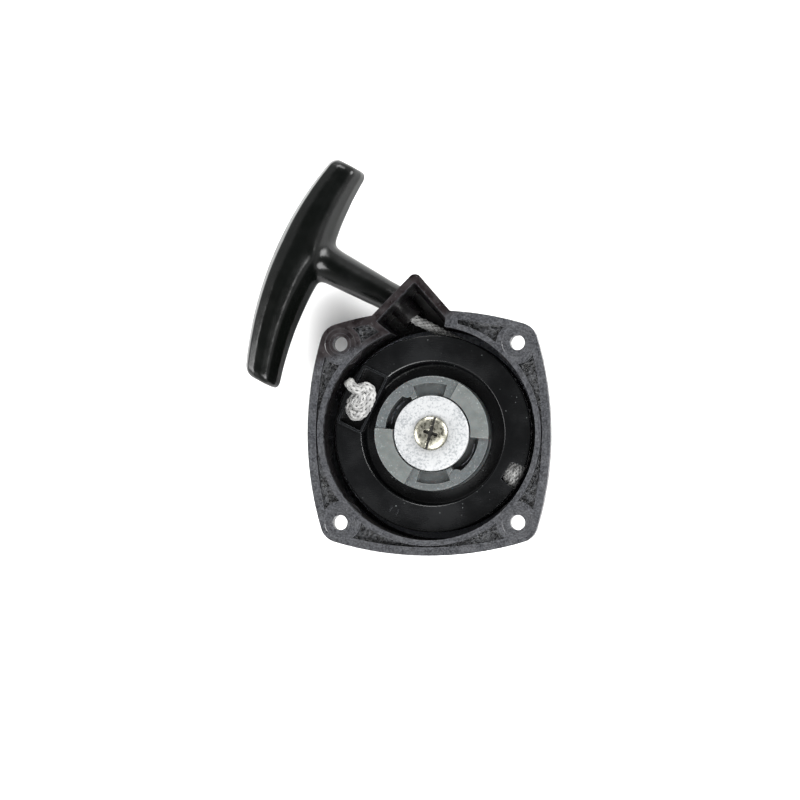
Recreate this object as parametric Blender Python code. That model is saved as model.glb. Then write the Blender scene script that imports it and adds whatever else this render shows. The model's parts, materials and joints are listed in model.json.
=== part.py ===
"""Recoil starter for a small two-stroke engine, modelled in metres.

The origin is on the reel's axis, on the housing's flat outer back. +Z points towards the engine,
out of the open bowl, and +Y points up past the rope guide. The starter lies on its back.
"""

import math

import bmesh
import bpy
from mathutils import Matrix, Vector

# Clearances
GAP = 0.0003  # between pieces that touch
OVERSHOOT = 0.001  # how far a cutter runs past the face that it opens

# Spring, reel and their axis
REEL_RADIUS = 0.0344
POST_RADIUS = 0.0060
POST_HEIGHT = 0.0249
HUB_BORE_RADIUS = POST_RADIUS + GAP
HUB_RADIUS = HUB_BORE_RADIUS + 0.0027
WELL_RADIUS = REEL_RADIUS - 0.0094
DRUM_WALL = 0.0020
DRUM_RADIUS = WELL_RADIUS + DRUM_WALL
REEL_TOP = 0.0238
REEL_FLANGE = 0.0018
REEL_LOWER_FLANGE = 0.0014
WELL_FLOOR_TOP = 0.0162
WELL_FLOOR_THICKNESS = 0.0020
RIM_NOTCH_ANGLE = math.radians(-27.0)
RIM_NOTCH_WIDTH = 0.0070
RIM_NOTCH_FOOT = REEL_RADIUS - 0.0056  # radius of the notch's inner edge

# Housing
HOUSING_HEIGHT = 0.034  # outer back to the flange's mounting plane
BOLT_SPACING = 0.062  # square pattern
BOLT_OFFSET = BOLT_SPACING / 2
BOLT_HOLE_RADIUS = 0.0026
FLANGE_CORNER_RADIUS = 0.0070  # round each bolt hole
FLANGE_BULGE = 0.0045  # of each side, past the corners
FLANGE_HALF_WIDTH = BOLT_OFFSET + FLANGE_CORNER_RADIUS + FLANGE_BULGE
FLANGE_THICKNESS = 0.0045
RIM_WALL = 0.0029
RIM_POCKET_DEPTH = 0.0030
BOWL_RADIUS = REEL_RADIUS + 0.0028
BOWL_WALL = 0.0019
HOUSING_OUTER_RADIUS = BOWL_RADIUS + BOWL_WALL
BACK_THICKNESS = 0.0025
BACK_CHAMFER = 0.0040
LUG_RADIUS = 0.0070
LUG_INWARD_SHIFT = 0.0006  # lug centre towards the reel's axis from its hole
LUG_LENGTH = 0.0050
LUG_TOP_STEP = GAP / 5  # below the rim
TOWER_TOP_STEP = GAP / 10  # below the rim

# Spring chamber
CHAMBER_RADIUS = BOWL_RADIUS - 0.0057
CHAMBER_DEPTH = 0.0064
CHAMBER_TOP = BACK_THICKNESS + CHAMBER_DEPTH
COVER_THICKNESS = 0.0008
COVER_TOP = CHAMBER_TOP + GAP + COVER_THICKNESS
SPRING_STRIP = 0.0005
SPRING_PITCH = 0.0032
SPRING_PEG_RADIUS = 0.0012
SPRING_PEG_DISTANCE = CHAMBER_RADIUS - 2.6 * SPRING_PEG_RADIUS  # from the reel's axis
HUB_SLIT_DEPTH = 0.0018
SPRING_END_DEPTH = 0.0012  # how far the strip reaches into the hub's slit
REEL_BOTTOM = COVER_TOP + GAP
GROOVE_BOTTOM = REEL_BOTTOM + REEL_LOWER_FLANGE

# Rope and its way out
ROPE_RADIUS = 0.0018
ROPE_COLUMNS = 2
ROPE_LAYERS = 2
ROPE_HEIGHT = GROOVE_BOTTOM + 2 * GAP + (2 * ROPE_COLUMNS - 1) * ROPE_RADIUS  # centre line of the top turn
WINDING_TOP = ROPE_HEIGHT + ROPE_RADIUS
WINDING_INNER = DRUM_RADIUS + GAP
WINDING_OUTER = min(REEL_RADIUS - GAP, WINDING_INNER + 2 * ROPE_RADIUS * ROPE_LAYERS)
PULL_ANGLE = math.radians(151.9)  # direction of the pull, about +Z from +X
PULL_OFFSET = REEL_RADIUS + 0.00055  # from the reel's axis to the handle's axis
HANDLE_STANDOFF = 0.0044  # from the tower's wall to the handle's own origin
GUIDE_WALL_START = (-0.0194, BOWL_RADIUS + 0.0040)  # outer line of the tower's front wall
TOWER_APEX = (-0.0046, BOWL_RADIUS + 0.0190)
TOWER_APEX_RADIUS = 0.0024
TOWER_SIDE_END = (0.0074, BOWL_RADIUS + 0.0052)
TOWER_DRAFT = 0.0034  # how far the side wall leans in towards its foot
TOWER_MOUTH_DEPTH = 0.0062  # how far its outline is closed inside the bowl
TOWER_ROOT = 0.0040  # how far the tower's walls run on into the bowl's wall
TOWER_WALL = 0.0025
TOWER_CLEARANCE = 0.0004  # of the rim pocket from the tower
TOWER_FLOOR_HEIGHT = 0.0080
BUSH_BORE_RADIUS = ROPE_RADIUS + 0.0011
BUSH_RADIUS = BUSH_BORE_RADIUS + 0.0015
BUSH_FLANGE_RADIUS = BUSH_RADIUS + 0.0014
BUSH_FLANGE_THICKNESS = 0.0009
BUSH_LENGTH = 0.0105
BUSH_MOUTH_FLARE = 0.0007
COLLAR_RADIUS = BUSH_FLANGE_RADIUS + 0.0015
COLLAR_HEIGHT = 0.0012

# Knot in its pocket on the reel
KNOT_ANGLE = math.radians(154.0)
KNOT_POCKET_INNER = REEL_RADIUS - 0.0118  # radial reach of the pocket's outer wall faces
KNOT_POCKET_OUTER = REEL_RADIUS - 0.0019
KNOT_POCKET_LENGTH = 0.0222
KNOT_POCKET_WALL = 0.0008
KNOT_POCKET_RISE = 0.0010  # above the flange
KNOT_POCKET_FLOOR = WINDING_TOP + GAP + KNOT_POCKET_WALL
KNOT_STEM_DISTANCE = KNOT_POCKET_OUTER - KNOT_POCKET_WALL - GAP - ROPE_RADIUS  # from the reel's axis
KNOT_HEIGHT = 0.0052
KNOT_LENGTH = 0.0128

# Ratchet carrier and pawls
CARRIER_RADIUS = WELL_RADIUS - 0.0049
COUNTERBORE_RADIUS = CARRIER_RADIUS - 0.0066
CARRIER_BOTTOM = WELL_FLOOR_TOP + GAP
CARRIER_BASE = 0.0030
CARRIER_FLOOR = CARRIER_BOTTOM + CARRIER_BASE
CARRIER_TOP = 0.0262
CARRIER_FLAT_TOP = 0.0270
CARRIER_PEG_RADIUS = 0.0015
CARRIER_PEG_DISTANCE = HUB_BORE_RADIUS + 0.413 * (CARRIER_RADIUS - HUB_BORE_RADIUS)
CARRIER_PEG_ANGLE = math.radians(30.0)
WINDOW_OUTER_RADIUS = CARRIER_RADIUS - 0.0024
WINDOW_FLOOR = 0.0238
PAWL_ARM_INNER = CARRIER_RADIUS - 0.0035
PAWL_PIVOT_RADIUS = CARRIER_RADIUS - 0.0027  # from the reel's axis
PAWL_PIVOT_ANGLE = math.radians(-60.0)
PAWL_TIP_ANGLE = math.radians(-7.5)
PAWL_EYE_RADIUS = 0.0025
PAWL_EYE_STEP = GAP / 10  # of the eye's faces inside the arm's
PAWL_TOP = 0.0259
PAWL_PIN_RADIUS = 0.0012
PAWL_PIN_COVER = 0.0010  # left over the pin in the pawl's eye
PAWL_SPRING_WIRE = 0.0003
PAWL_SPRING_BOW = 0.0004
PAWL_SPRING_START = math.radians(12.0)  # past the pivot
PAWL_SPRING_SWEEP = math.radians(34.0)
FLAT_SPAN = (math.radians(-6.0), math.radians(61.0))
FLAT_STEP = math.radians(0.6)  # left between a pawl's pocket and the flat beside it
WINDOW_SPAN = (math.radians(72.0), math.radians(112.0))

# Washer, screw and friction spring
WASHER_RADIUS = COUNTERBORE_RADIUS - GAP
WASHER_THICKNESS = 0.0016
WASHER_EDGE = 0.0003
WASHER_BOTTOM = POST_HEIGHT + GAP
WASHER_TOP = WASHER_BOTTOM + WASHER_THICKNESS
SCREW_RADIUS = 0.0030
SCREW_HEAD_RADIUS = 0.0060
SCREW_HEAD_HEIGHT = 0.0023
SCREW_LENGTH = 0.0170
SCREW_CHAMFER = (0.0006, 0.0008)  # in radius and along the shank, at the screw's tip
SCREW_SLOT_ANGLE = math.radians(73.6)
SCREW_SLOT_WIDTH = 0.0012
SCREW_SLOT_DEPTH = 0.0011
SCREW_SLOT_REACH = 0.0080  # past the head's edge at both ends
SCREW_CROSS_REACH = 0.0027
SCREW_CROSS_DEPTH = 0.0016
HEAD_BOTTOM = WASHER_TOP + GAP
FRICTION_WIRE = 0.0005
FRICTION_TURNS = 3
FRICTION_COIL_RADIUS = HUB_BORE_RADIUS + 0.29 * (COUNTERBORE_RADIUS - HUB_BORE_RADIUS)

# Handle, with its own axes: out along the pull, and across it in the bar's direction
BAR_UPPER_REACH = 0.0345
BAR_LOWER_REACH = 0.0476
BAR_FACE_DISTANCE = 0.0425  # from the neck's foot to the outer face's crown
BAR_FACE_RADIUS = 0.1240
BAR_CROWN_OFFSET = 0.0050
BAR_MIDDLE_WIDTH = 0.0202
BAR_END_WIDTH = 0.0134
BAR_MIDDLE_DEPTH = 0.0210
BAR_END_DEPTH = 0.0150
BAR_END_ROUND = 0.0038
BAR_SQUARENESS = 0.6  # 1 for an elliptical section, towards 0 for a square one
NECK_RADIUS = 0.00525
NECK_ROOT_RADIUS = 0.0064
NECK_FILLET_RADIUS = 0.0100
NECK_RUN_ON = 0.0120  # of the neck past its origin, before its foot is cut
NECK_BORE_RADIUS = ROPE_RADIUS + 0.0008
HANDLE_CAVITY_RADIUS = 0.0050
HANDLE_CAVITY_FLOOR = 0.0285
HANDLE_CAP_THICKNESS = 0.0025
HANDLE_CAP_EDGE = 0.0004
HANDLE_CAP_FACE = BAR_FACE_DISTANCE - 2 * GAP

RIM_POINTS = 64  # points round a large circle

PULL = Vector((math.cos(PULL_ANGLE), math.sin(PULL_ANGLE), 0.0))
ACROSS = Vector((math.sin(PULL_ANGLE), -math.cos(PULL_ANGLE), 0.0))


def front_wall_normal():
    start = Vector(GUIDE_WALL_START)
    along = (Vector(TOWER_APEX) - start).normalized()
    return Vector((-along.y, along.x, 0.0))


def guide_centre():
    """Where the pull's line crosses the outer face of the tower's front wall."""
    normal = front_wall_normal()
    foot = ACROSS * PULL_OFFSET
    start = Vector((GUIDE_WALL_START[0], GUIDE_WALL_START[1], 0.0))
    distance = (start - foot).dot(normal) / PULL.dot(normal)
    centre = foot + PULL * distance
    centre.z = ROPE_HEIGHT
    return centre


WALL_NORMAL = front_wall_normal()
GUIDE_CENTRE = guide_centre()
HANDLE_ORIGIN = GUIDE_CENTRE + PULL * HANDLE_STANDOFF


# Scene and mesh helpers


def clear_scene():
    for obj in list(bpy.data.objects):
        bpy.data.objects.remove(obj, do_unlink=True)


def make_material(name, colour, roughness, metallic=0.0):
    material = bpy.data.materials.new(name)
    material.use_nodes = True
    shader = material.node_tree.nodes["Principled BSDF"]
    shader.inputs["Base Color"].default_value = (*colour, 1.0)
    shader.inputs["Roughness"].default_value = roughness
    shader.inputs["Metallic"].default_value = metallic
    return material


def add_object(name, data, material=None):
    obj = bpy.data.objects.new(name, data)
    bpy.context.scene.collection.objects.link(obj)
    if material:
        data.materials.append(material)
    return obj


def finish_mesh(name, bm, material, smooth=True):
    bmesh.ops.recalc_face_normals(bm, faces=bm.faces)
    mesh = bpy.data.meshes.new(name)
    bm.to_mesh(mesh)
    bm.free()
    if smooth:
        mesh.shade_smooth()
        mesh.set_sharp_from_angle(angle=math.radians(32.0))
    return add_object(name, mesh, material)


def prism(name, outline, bottom, top, material=None):
    """A closed upright block over an outline of (x, y) points."""
    return loft(name, outline, outline, bottom, top, material)


def loft(name, low_outline, high_outline, bottom, top, material=None):
    """A closed block between two outlines with the same number of points."""
    bm = bmesh.new()
    low = [bm.verts.new((x, y, bottom)) for x, y in low_outline]
    high = [bm.verts.new((x, y, top)) for x, y in high_outline]
    bm.faces.new(low[::-1])
    bm.faces.new(high)
    for index in range(len(low)):
        after = (index + 1) % len(low)
        bm.faces.new((low[index], low[after], high[after], high[index]))
    if low_outline != high_outline:
        bmesh.ops.triangulate(bm, faces=bm.faces)
    return finish_mesh(name, bm, material)


def turned(name, profile, points=RIM_POINTS, material=None):
    """A solid turned about +Z from a closed profile of (radius, height) points."""
    bm = bmesh.new()
    rings = []
    for radius, height in profile:
        if radius == 0.0:
            rings.append([bm.verts.new((0.0, 0.0, height))] * points)
            continue
        ring = []
        for step in range(points):
            angle = 2 * math.pi * step / points
            ring.append(bm.verts.new((radius * math.cos(angle), radius * math.sin(angle), height)))
        rings.append(ring)
    for low, high in zip(rings, rings[1:] + rings[:1]):
        for step in range(points):
            after = (step + 1) % points
            corners = [low[step], low[after], high[after], high[step]]
            unique = list(dict.fromkeys(corners))
            if len(unique) > 2:
                bm.faces.new(unique)
    return finish_mesh(name, bm, material)


def disc(name, radius, bottom, top, centre=(0.0, 0.0), points=RIM_POINTS, material=None):
    outline = circle(radius, centre, points)
    return prism(name, outline, bottom, top, material)


def circle(radius, centre=(0.0, 0.0), points=RIM_POINTS):
    return arc(radius, 0.0, 2 * math.pi * (points - 1) / points, points, centre)


def arc(radius, start, end, points, centre=(0.0, 0.0)):
    outline = []
    for step in range(points):
        angle = start + (end - start) * step / (points - 1)
        outline.append((centre[0] + radius * math.cos(angle), centre[1] + radius * math.sin(angle)))
    return outline


def sector(inner, outer, start, end, points=12):
    """Outline of a ring's stretch between two angles."""
    return arc(outer, start, end, points) + arc(inner, end, start, points)


def tube(name, points, radius, material=None, sides=2):
    """A round rod along a list of points, with closed ends."""
    curve = bpy.data.curves.new(name, "CURVE")
    curve.dimensions = "3D"
    curve.bevel_depth = radius
    curve.bevel_resolution = sides
    curve.use_fill_caps = True
    spline = curve.splines.new("POLY")
    spline.points.add(len(points) - 1)
    for spot, point in zip(spline.points, points):
        spot.co = (point[0], point[1], point[2], 1.0)
    return add_object(name, curve, material)


def smooth_route(points, steps):
    """Points along a smooth curve through the given ones."""
    route = []
    last = len(points) - 1
    for index in range(last):
        before = points[max(index - 1, 0)]
        start = points[index]
        end = points[index + 1]
        after = points[min(index + 2, last)]
        for step in range(steps):
            t = step / steps
            route.append(
                0.5
                * (
                    2 * start
                    + (end - before) * t
                    + (2 * before - 5 * start + 4 * end - after) * t * t
                    + (3 * start - before - 3 * end + after) * t * t * t
                )
            )
    route.append(points[last].copy())
    return route


def combine(target, others, operation):
    """Adds a Boolean of each other object to the target and hides the other object."""
    for other in others:
        modifier = target.modifiers.new(other.name, "BOOLEAN")
        modifier.operation = operation
        modifier.object = other
        modifier.solver = "EXACT"
        other.hide_render = True
        other.display_type = "WIRE"


def cut(target, *cutters):
    combine(target, cutters, "DIFFERENCE")


def join(target, *others):
    combine(target, others, "UNION")


def along_wall_normal(obj, foot):
    """Turns an object's own +Z to the tower wall's normal and moves it to the foot."""
    obj.matrix_world = Matrix.Translation(foot) @ WALL_NORMAL.to_track_quat("Z", "Y").to_matrix().to_4x4()


def polar(radius, angle, height=0.0):
    return Vector((radius * math.cos(angle), radius * math.sin(angle), height))


# Housing


def flange_outline(inset=0.0):
    """Square with bulging sides and a round corner about each bolt hole."""
    corner = FLANGE_CORNER_RADIUS - inset
    half = FLANGE_HALF_WIDTH - inset
    rise = half - BOLT_OFFSET - corner
    # The side's arc is tangent to both corner circles.
    side_radius = (BOLT_OFFSET**2 + (half - BOLT_OFFSET) ** 2 - corner**2) / (2 * rise)
    side_centre = half - side_radius
    lean = math.asin(BOLT_OFFSET / (side_radius - corner))
    outline = []
    for quarter in range(4):
        turn = Matrix.Rotation(quarter * math.pi / 2, 2)
        side = arc(side_radius, -lean, lean, 11, (side_centre, 0.0))
        round_corner = arc(corner, lean, math.pi / 2 - lean, 7, (BOLT_OFFSET, BOLT_OFFSET))
        for point in side + round_corner[1:-1]:
            turned_point = turn @ Vector(point)
            outline.append((turned_point.x, turned_point.y))
    return outline


def bolt_centres():
    return [(x, y) for x in (-BOLT_OFFSET, BOLT_OFFSET) for y in (-BOLT_OFFSET, BOLT_OFFSET)]


def lug_centres():
    """The lugs sit a little inside their holes, so that they stay within the flange's corners."""
    share = 1.0 - LUG_INWARD_SHIFT / Vector((BOLT_OFFSET, BOLT_OFFSET)).length
    return [(x * share, y * share) for x, y in bolt_centres()]


def tower_outline(inset, root, lean=0.0):
    """The rope guide's plan: front wall, rounded apex and side wall, closed inside the bowl."""
    start = Vector(GUIDE_WALL_START)
    apex = Vector(TOWER_APEX)
    end = Vector(TOWER_SIDE_END)
    front = (apex - start).normalized()
    side = (end - apex).normalized()
    apex -= front * lean
    end -= front * lean
    front_in = Vector((front.y, -front.x))
    side_in = Vector((side.y, -side.x))
    radius = TOWER_APEX_RADIUS - 0.6 * inset
    offset = inset + radius
    turn = math.acos(max(-1.0, min(1.0, front.dot(side))))
    reach = offset * math.tan(turn / 2)
    centre = apex + front_in * offset - front * reach
    first = math.atan2(-front_in.y, -front_in.x)
    last = math.atan2(-side_in.y, -side_in.x)
    corner = arc(radius, first, last, 7, (centre.x, centre.y))
    foot = start + front_in * inset
    toe = end + side_in * inset
    inner_end = toe + side * root
    inner_start = foot - front * root
    mouth_line = BOWL_RADIUS - TOWER_MOUTH_DEPTH
    mouth = [(inner_end.x - OVERSHOOT, mouth_line), (0.5 * inner_start.x, mouth_line)]
    return [(inner_start.x, inner_start.y), *corner, (inner_end.x, inner_end.y), *mouth]


def rim_pocket_cutter():
    """The shallow recess between the rim and the bowl's wall, clear of lugs and tower."""
    floor = HOUSING_HEIGHT - RIM_POCKET_DEPTH
    top = HOUSING_HEIGHT + OVERSHOOT
    cutter = prism("rim_pocket_cutter", flange_outline(RIM_WALL), floor, top)
    keep = [disc("rim_pocket_bowl", HOUSING_OUTER_RADIUS, floor - OVERSHOOT, top + OVERSHOOT)]
    for index, centre in enumerate(lug_centres()):
        keep.append(disc(f"rim_pocket_lug_{index}", LUG_RADIUS, floor - OVERSHOOT, top + OVERSHOOT, centre, 24))
    keep.append(prism("rim_pocket_tower", tower_outline(-TOWER_CLEARANCE, TOWER_ROOT), floor - OVERSHOOT, top + OVERSHOOT))
    cut(cutter, *keep)
    return cutter


def build_housing(material):
    flange_bottom = HOUSING_HEIGHT - FLANGE_THICKNESS
    housing = prism("housing", flange_outline(), flange_bottom, HOUSING_HEIGHT, material)
    cup = turned(
        "housing_cup",
        [
            (0.0, 0.0),
            (HOUSING_OUTER_RADIUS - BACK_CHAMFER, 0.0),
            (HOUSING_OUTER_RADIUS, BACK_CHAMFER),
            (HOUSING_OUTER_RADIUS, flange_bottom + OVERSHOOT),
            (0.0, flange_bottom + OVERSHOOT),
        ],
    )
    tower = loft(
        "housing_tower",
        tower_outline(0.0, TOWER_ROOT, TOWER_DRAFT),
        tower_outline(0.0, TOWER_ROOT),
        TOWER_FLOOR_HEIGHT,
        HOUSING_HEIGHT - TOWER_TOP_STEP,
    )
    bowl = disc("housing_bowl", BOWL_RADIUS, BACK_THICKNESS, HOUSING_HEIGHT + OVERSHOOT)
    join(housing, cup, tower)
    cut(housing, bowl)
    lugs = []
    holes = []
    lug_bottom = HOUSING_HEIGHT - LUG_LENGTH
    hole_top = HOUSING_HEIGHT + OVERSHOOT
    for index, centre in enumerate(lug_centres()):
        lugs.append(disc(f"housing_lug_{index}", LUG_RADIUS, lug_bottom, HOUSING_HEIGHT - LUG_TOP_STEP, centre, 24))
    for index, centre in enumerate(bolt_centres()):
        holes.append(disc(f"bolt_hole_{index}", BOLT_HOLE_RADIUS, lug_bottom - OVERSHOOT, hole_top, centre, 24))
    ledge = turned(
        "spring_chamber",
        [
            (CHAMBER_RADIUS, BACK_THICKNESS - OVERSHOOT),
            (BOWL_RADIUS + BOWL_WALL / 2, BACK_THICKNESS - OVERSHOOT),
            (BOWL_RADIUS + BOWL_WALL / 2, CHAMBER_TOP),
            (CHAMBER_RADIUS, CHAMBER_TOP),
        ],
    )
    post = disc("post", POST_RADIUS, BACK_THICKNESS - OVERSHOOT, POST_HEIGHT, points=40)
    peg_centre = polar(SPRING_PEG_DISTANCE, 0.0)
    peg = disc(
        "spring_peg",
        SPRING_PEG_RADIUS,
        BACK_THICKNESS - OVERSHOOT,
        CHAMBER_TOP - GAP,
        (peg_centre.x, peg_centre.y),
        16,
    )
    collar = disc("guide_collar", COLLAR_RADIUS, -TOWER_WALL / 2, COLLAR_HEIGHT, points=28)
    along_wall_normal(collar, GUIDE_CENTRE)
    join(housing, *lugs, ledge, post, peg, collar)
    tower_inside = loft(
        "tower_inside",
        tower_outline(TOWER_WALL, OVERSHOOT, TOWER_DRAFT),
        tower_outline(TOWER_WALL, OVERSHOOT),
        TOWER_FLOOR_HEIGHT + TOWER_WALL,
        HOUSING_HEIGHT + OVERSHOOT,
    )
    screw_hole = disc(
        "screw_hole",
        SCREW_RADIUS + GAP,
        HEAD_BOTTOM - SCREW_LENGTH - OVERSHOOT,
        POST_HEIGHT + OVERSHOOT,
        points=24,
    )
    bush_hole = turned(
        "bush_hole",
        [
            (0.0, -TOWER_WALL - OVERSHOOT),
            (BUSH_RADIUS + GAP, -TOWER_WALL - OVERSHOOT),
            (BUSH_RADIUS + GAP, COLLAR_HEIGHT - BUSH_FLANGE_THICKNESS - GAP),
            (BUSH_FLANGE_RADIUS + GAP, COLLAR_HEIGHT - BUSH_FLANGE_THICKNESS - GAP),
            (BUSH_FLANGE_RADIUS + GAP, COLLAR_HEIGHT + OVERSHOOT),
            (0.0, COLLAR_HEIGHT + OVERSHOOT),
        ],
        28,
    )
    along_wall_normal(bush_hole, GUIDE_CENTRE)
    cut(housing, rim_pocket_cutter(), tower_inside, screw_hole, bush_hole, *holes)
    return housing


def build_bush(material):
    inner = COLLAR_HEIGHT - BUSH_LENGTH
    bush = turned(
        "rope_guide_bush",
        [
            (BUSH_BORE_RADIUS + BUSH_MOUTH_FLARE, inner),
            (BUSH_RADIUS, inner),
            (BUSH_RADIUS, COLLAR_HEIGHT - BUSH_FLANGE_THICKNESS),
            (BUSH_FLANGE_RADIUS, COLLAR_HEIGHT - BUSH_FLANGE_THICKNESS),
            (BUSH_FLANGE_RADIUS, COLLAR_HEIGHT),
            (BUSH_BORE_RADIUS + BUSH_MOUTH_FLARE, COLLAR_HEIGHT),
            (BUSH_BORE_RADIUS, COLLAR_HEIGHT - 2 * BUSH_MOUTH_FLARE),
            (BUSH_BORE_RADIUS, inner + 2 * BUSH_MOUTH_FLARE),
        ],
        28,
        material,
    )
    along_wall_normal(bush, GUIDE_CENTRE)
    return bush


# Spring chamber


def build_rewind_spring(material):
    """A flat strip wound from the hub's slit out to the peg by the chamber's wall."""
    inner_radius = HUB_RADIUS + 3 * GAP + SPRING_STRIP
    outer_radius = SPRING_PEG_DISTANCE - SPRING_PEG_RADIUS - GAP - SPRING_STRIP
    turns = round((outer_radius - inner_radius) / SPRING_PITCH)
    steps = 20 * turns
    half = SPRING_STRIP / 2
    centre_line = [polar(HUB_RADIUS - SPRING_END_DEPTH, 0.0), polar(HUB_RADIUS + GAP, 0.0)]
    for step in range(1, steps + 1):
        t = step / steps
        centre_line.append(polar(inner_radius + (outer_radius - inner_radius) * t, 2 * math.pi * turns * t))
    peg = polar(SPRING_PEG_DISTANCE, 0.0)
    hook_radius = SPRING_PEG_RADIUS + GAP + half
    for step in range(1, 6):
        angle = math.pi + step * math.pi / 6
        centre_line.append(peg + polar(hook_radius, -angle))
    left = []
    right = []
    for index, point in enumerate(centre_line):
        before = centre_line[max(index - 1, 0)]
        after = centre_line[min(index + 1, len(centre_line) - 1)]
        side = (after - before).normalized().cross(Vector((0.0, 0.0, 1.0)))
        left.append((point.x - side.x * half, point.y - side.y * half))
        right.append((point.x + side.x * half, point.y + side.y * half))
    bm = bmesh.new()
    floor = BACK_THICKNESS + GAP
    top = CHAMBER_TOP - GAP
    rows = []
    for (lx, ly), (rx, ry) in zip(left, right):
        corners = [(lx, ly, floor), (rx, ry, floor), (rx, ry, top), (lx, ly, top)]
        rows.append([bm.verts.new(corner) for corner in corners])
    for low, high in zip(rows, rows[1:]):
        for side in range(4):
            after = (side + 1) % 4
            bm.faces.new((low[side], low[after], high[after], high[side]))
    bm.faces.new(rows[0])
    bm.faces.new(rows[-1][::-1])
    return finish_mesh("rewind_spring", bm, material)


def build_spring_cover(material):
    bottom = CHAMBER_TOP + GAP
    bore = HUB_RADIUS + 4 * GAP
    rim = BOWL_RADIUS - 2 * GAP
    profile = [(bore, bottom), (rim, bottom), (rim, COVER_TOP), (bore, COVER_TOP)]
    return turned("spring_cover", profile, RIM_POINTS, material)


# Reel


def radial_box(name, inner, outer, width, bottom, top, angle):
    """A block reaching outwards between two radii, at an angle about the axis."""
    outline = []
    for radius, side in ((inner, -width / 2), (outer, -width / 2), (outer, width / 2), (inner, width / 2)):
        corner = Matrix.Rotation(angle, 2) @ Vector((radius, side))
        outline.append((corner.x, corner.y))
    return prism(name, outline, bottom, top)


def carrier_peg_centres():
    return [polar(CARRIER_PEG_DISTANCE, CARRIER_PEG_ANGLE + side * math.pi) for side in range(2)]


def build_reel(material):
    underside = WELL_FLOOR_TOP - WELL_FLOOR_THICKNESS
    hub_bottom = BACK_THICKNESS + 2 * GAP
    reel = turned(
        "reel",
        [
            (HUB_BORE_RADIUS, WELL_FLOOR_TOP),
            (WELL_RADIUS, WELL_FLOOR_TOP),
            (WELL_RADIUS, REEL_TOP),
            (REEL_RADIUS, REEL_TOP),
            (REEL_RADIUS, REEL_TOP - REEL_FLANGE),
            (DRUM_RADIUS, REEL_TOP - REEL_FLANGE),
            (DRUM_RADIUS, GROOVE_BOTTOM),
            (REEL_RADIUS, GROOVE_BOTTOM),
            (REEL_RADIUS, REEL_BOTTOM),
            (WELL_RADIUS, REEL_BOTTOM),
            (WELL_RADIUS, underside),
            (HUB_RADIUS, underside),
            (HUB_RADIUS, hub_bottom),
            (HUB_BORE_RADIUS, hub_bottom),
        ],
        RIM_POINTS,
        material,
    )
    wall = KNOT_POCKET_WALL
    pocket_top = REEL_TOP + KNOT_POCKET_RISE
    pocket_box = radial_box(
        "knot_pocket_box",
        KNOT_POCKET_INNER,
        KNOT_POCKET_OUTER,
        KNOT_POCKET_LENGTH,
        KNOT_POCKET_FLOOR - wall,
        pocket_top,
        KNOT_ANGLE,
    )
    pocket = radial_box(
        "knot_pocket",
        KNOT_POCKET_INNER + wall,
        KNOT_POCKET_OUTER - wall,
        KNOT_POCKET_LENGTH - 2 * wall,
        KNOT_POCKET_FLOOR,
        pocket_top + OVERSHOOT,
        KNOT_ANGLE,
    )
    notch = radial_box(
        "rim_notch",
        RIM_NOTCH_FOOT,
        REEL_RADIUS + OVERSHOOT,
        RIM_NOTCH_WIDTH,
        REEL_TOP - REEL_FLANGE - OVERSHOOT,
        REEL_TOP + OVERSHOOT,
        RIM_NOTCH_ANGLE,
    )
    rope_hole_centre = polar(KNOT_STEM_DISTANCE, KNOT_ANGLE)
    rope_hole = disc(
        "knot_rope_hole",
        ROPE_RADIUS + GAP,
        KNOT_POCKET_FLOOR - wall - OVERSHOOT,
        KNOT_POCKET_FLOOR + OVERSHOOT,
        (rope_hole_centre.x, rope_hole_centre.y),
        20,
    )
    slit = radial_box(
        "spring_slit",
        HUB_RADIUS - HUB_SLIT_DEPTH,
        HUB_RADIUS + OVERSHOOT,
        SPRING_STRIP + 2 * GAP,
        hub_bottom - OVERSHOOT,
        CHAMBER_TOP + GAP,
        0.0,
    )
    join(reel, pocket_box)
    cut(reel, pocket, notch, rope_hole, slit)
    for index, centre in enumerate(carrier_peg_centres()):
        hole = disc(
            f"carrier_peg_hole_{index}",
            CARRIER_PEG_RADIUS + GAP,
            underside - OVERSHOOT,
            WELL_FLOOR_TOP + OVERSHOOT,
            (centre.x, centre.y),
            20,
        )
        cut(reel, hole)
    return reel


def build_rope_winding(material):
    bottom = GROOVE_BOTTOM + GAP
    profile = [
        (WINDING_INNER, bottom),
        (WINDING_OUTER, bottom),
        (WINDING_OUTER, WINDING_TOP),
        (WINDING_INNER, WINDING_TOP),
    ]
    return turned("rope_winding", profile, RIM_POINTS, material)


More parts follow.
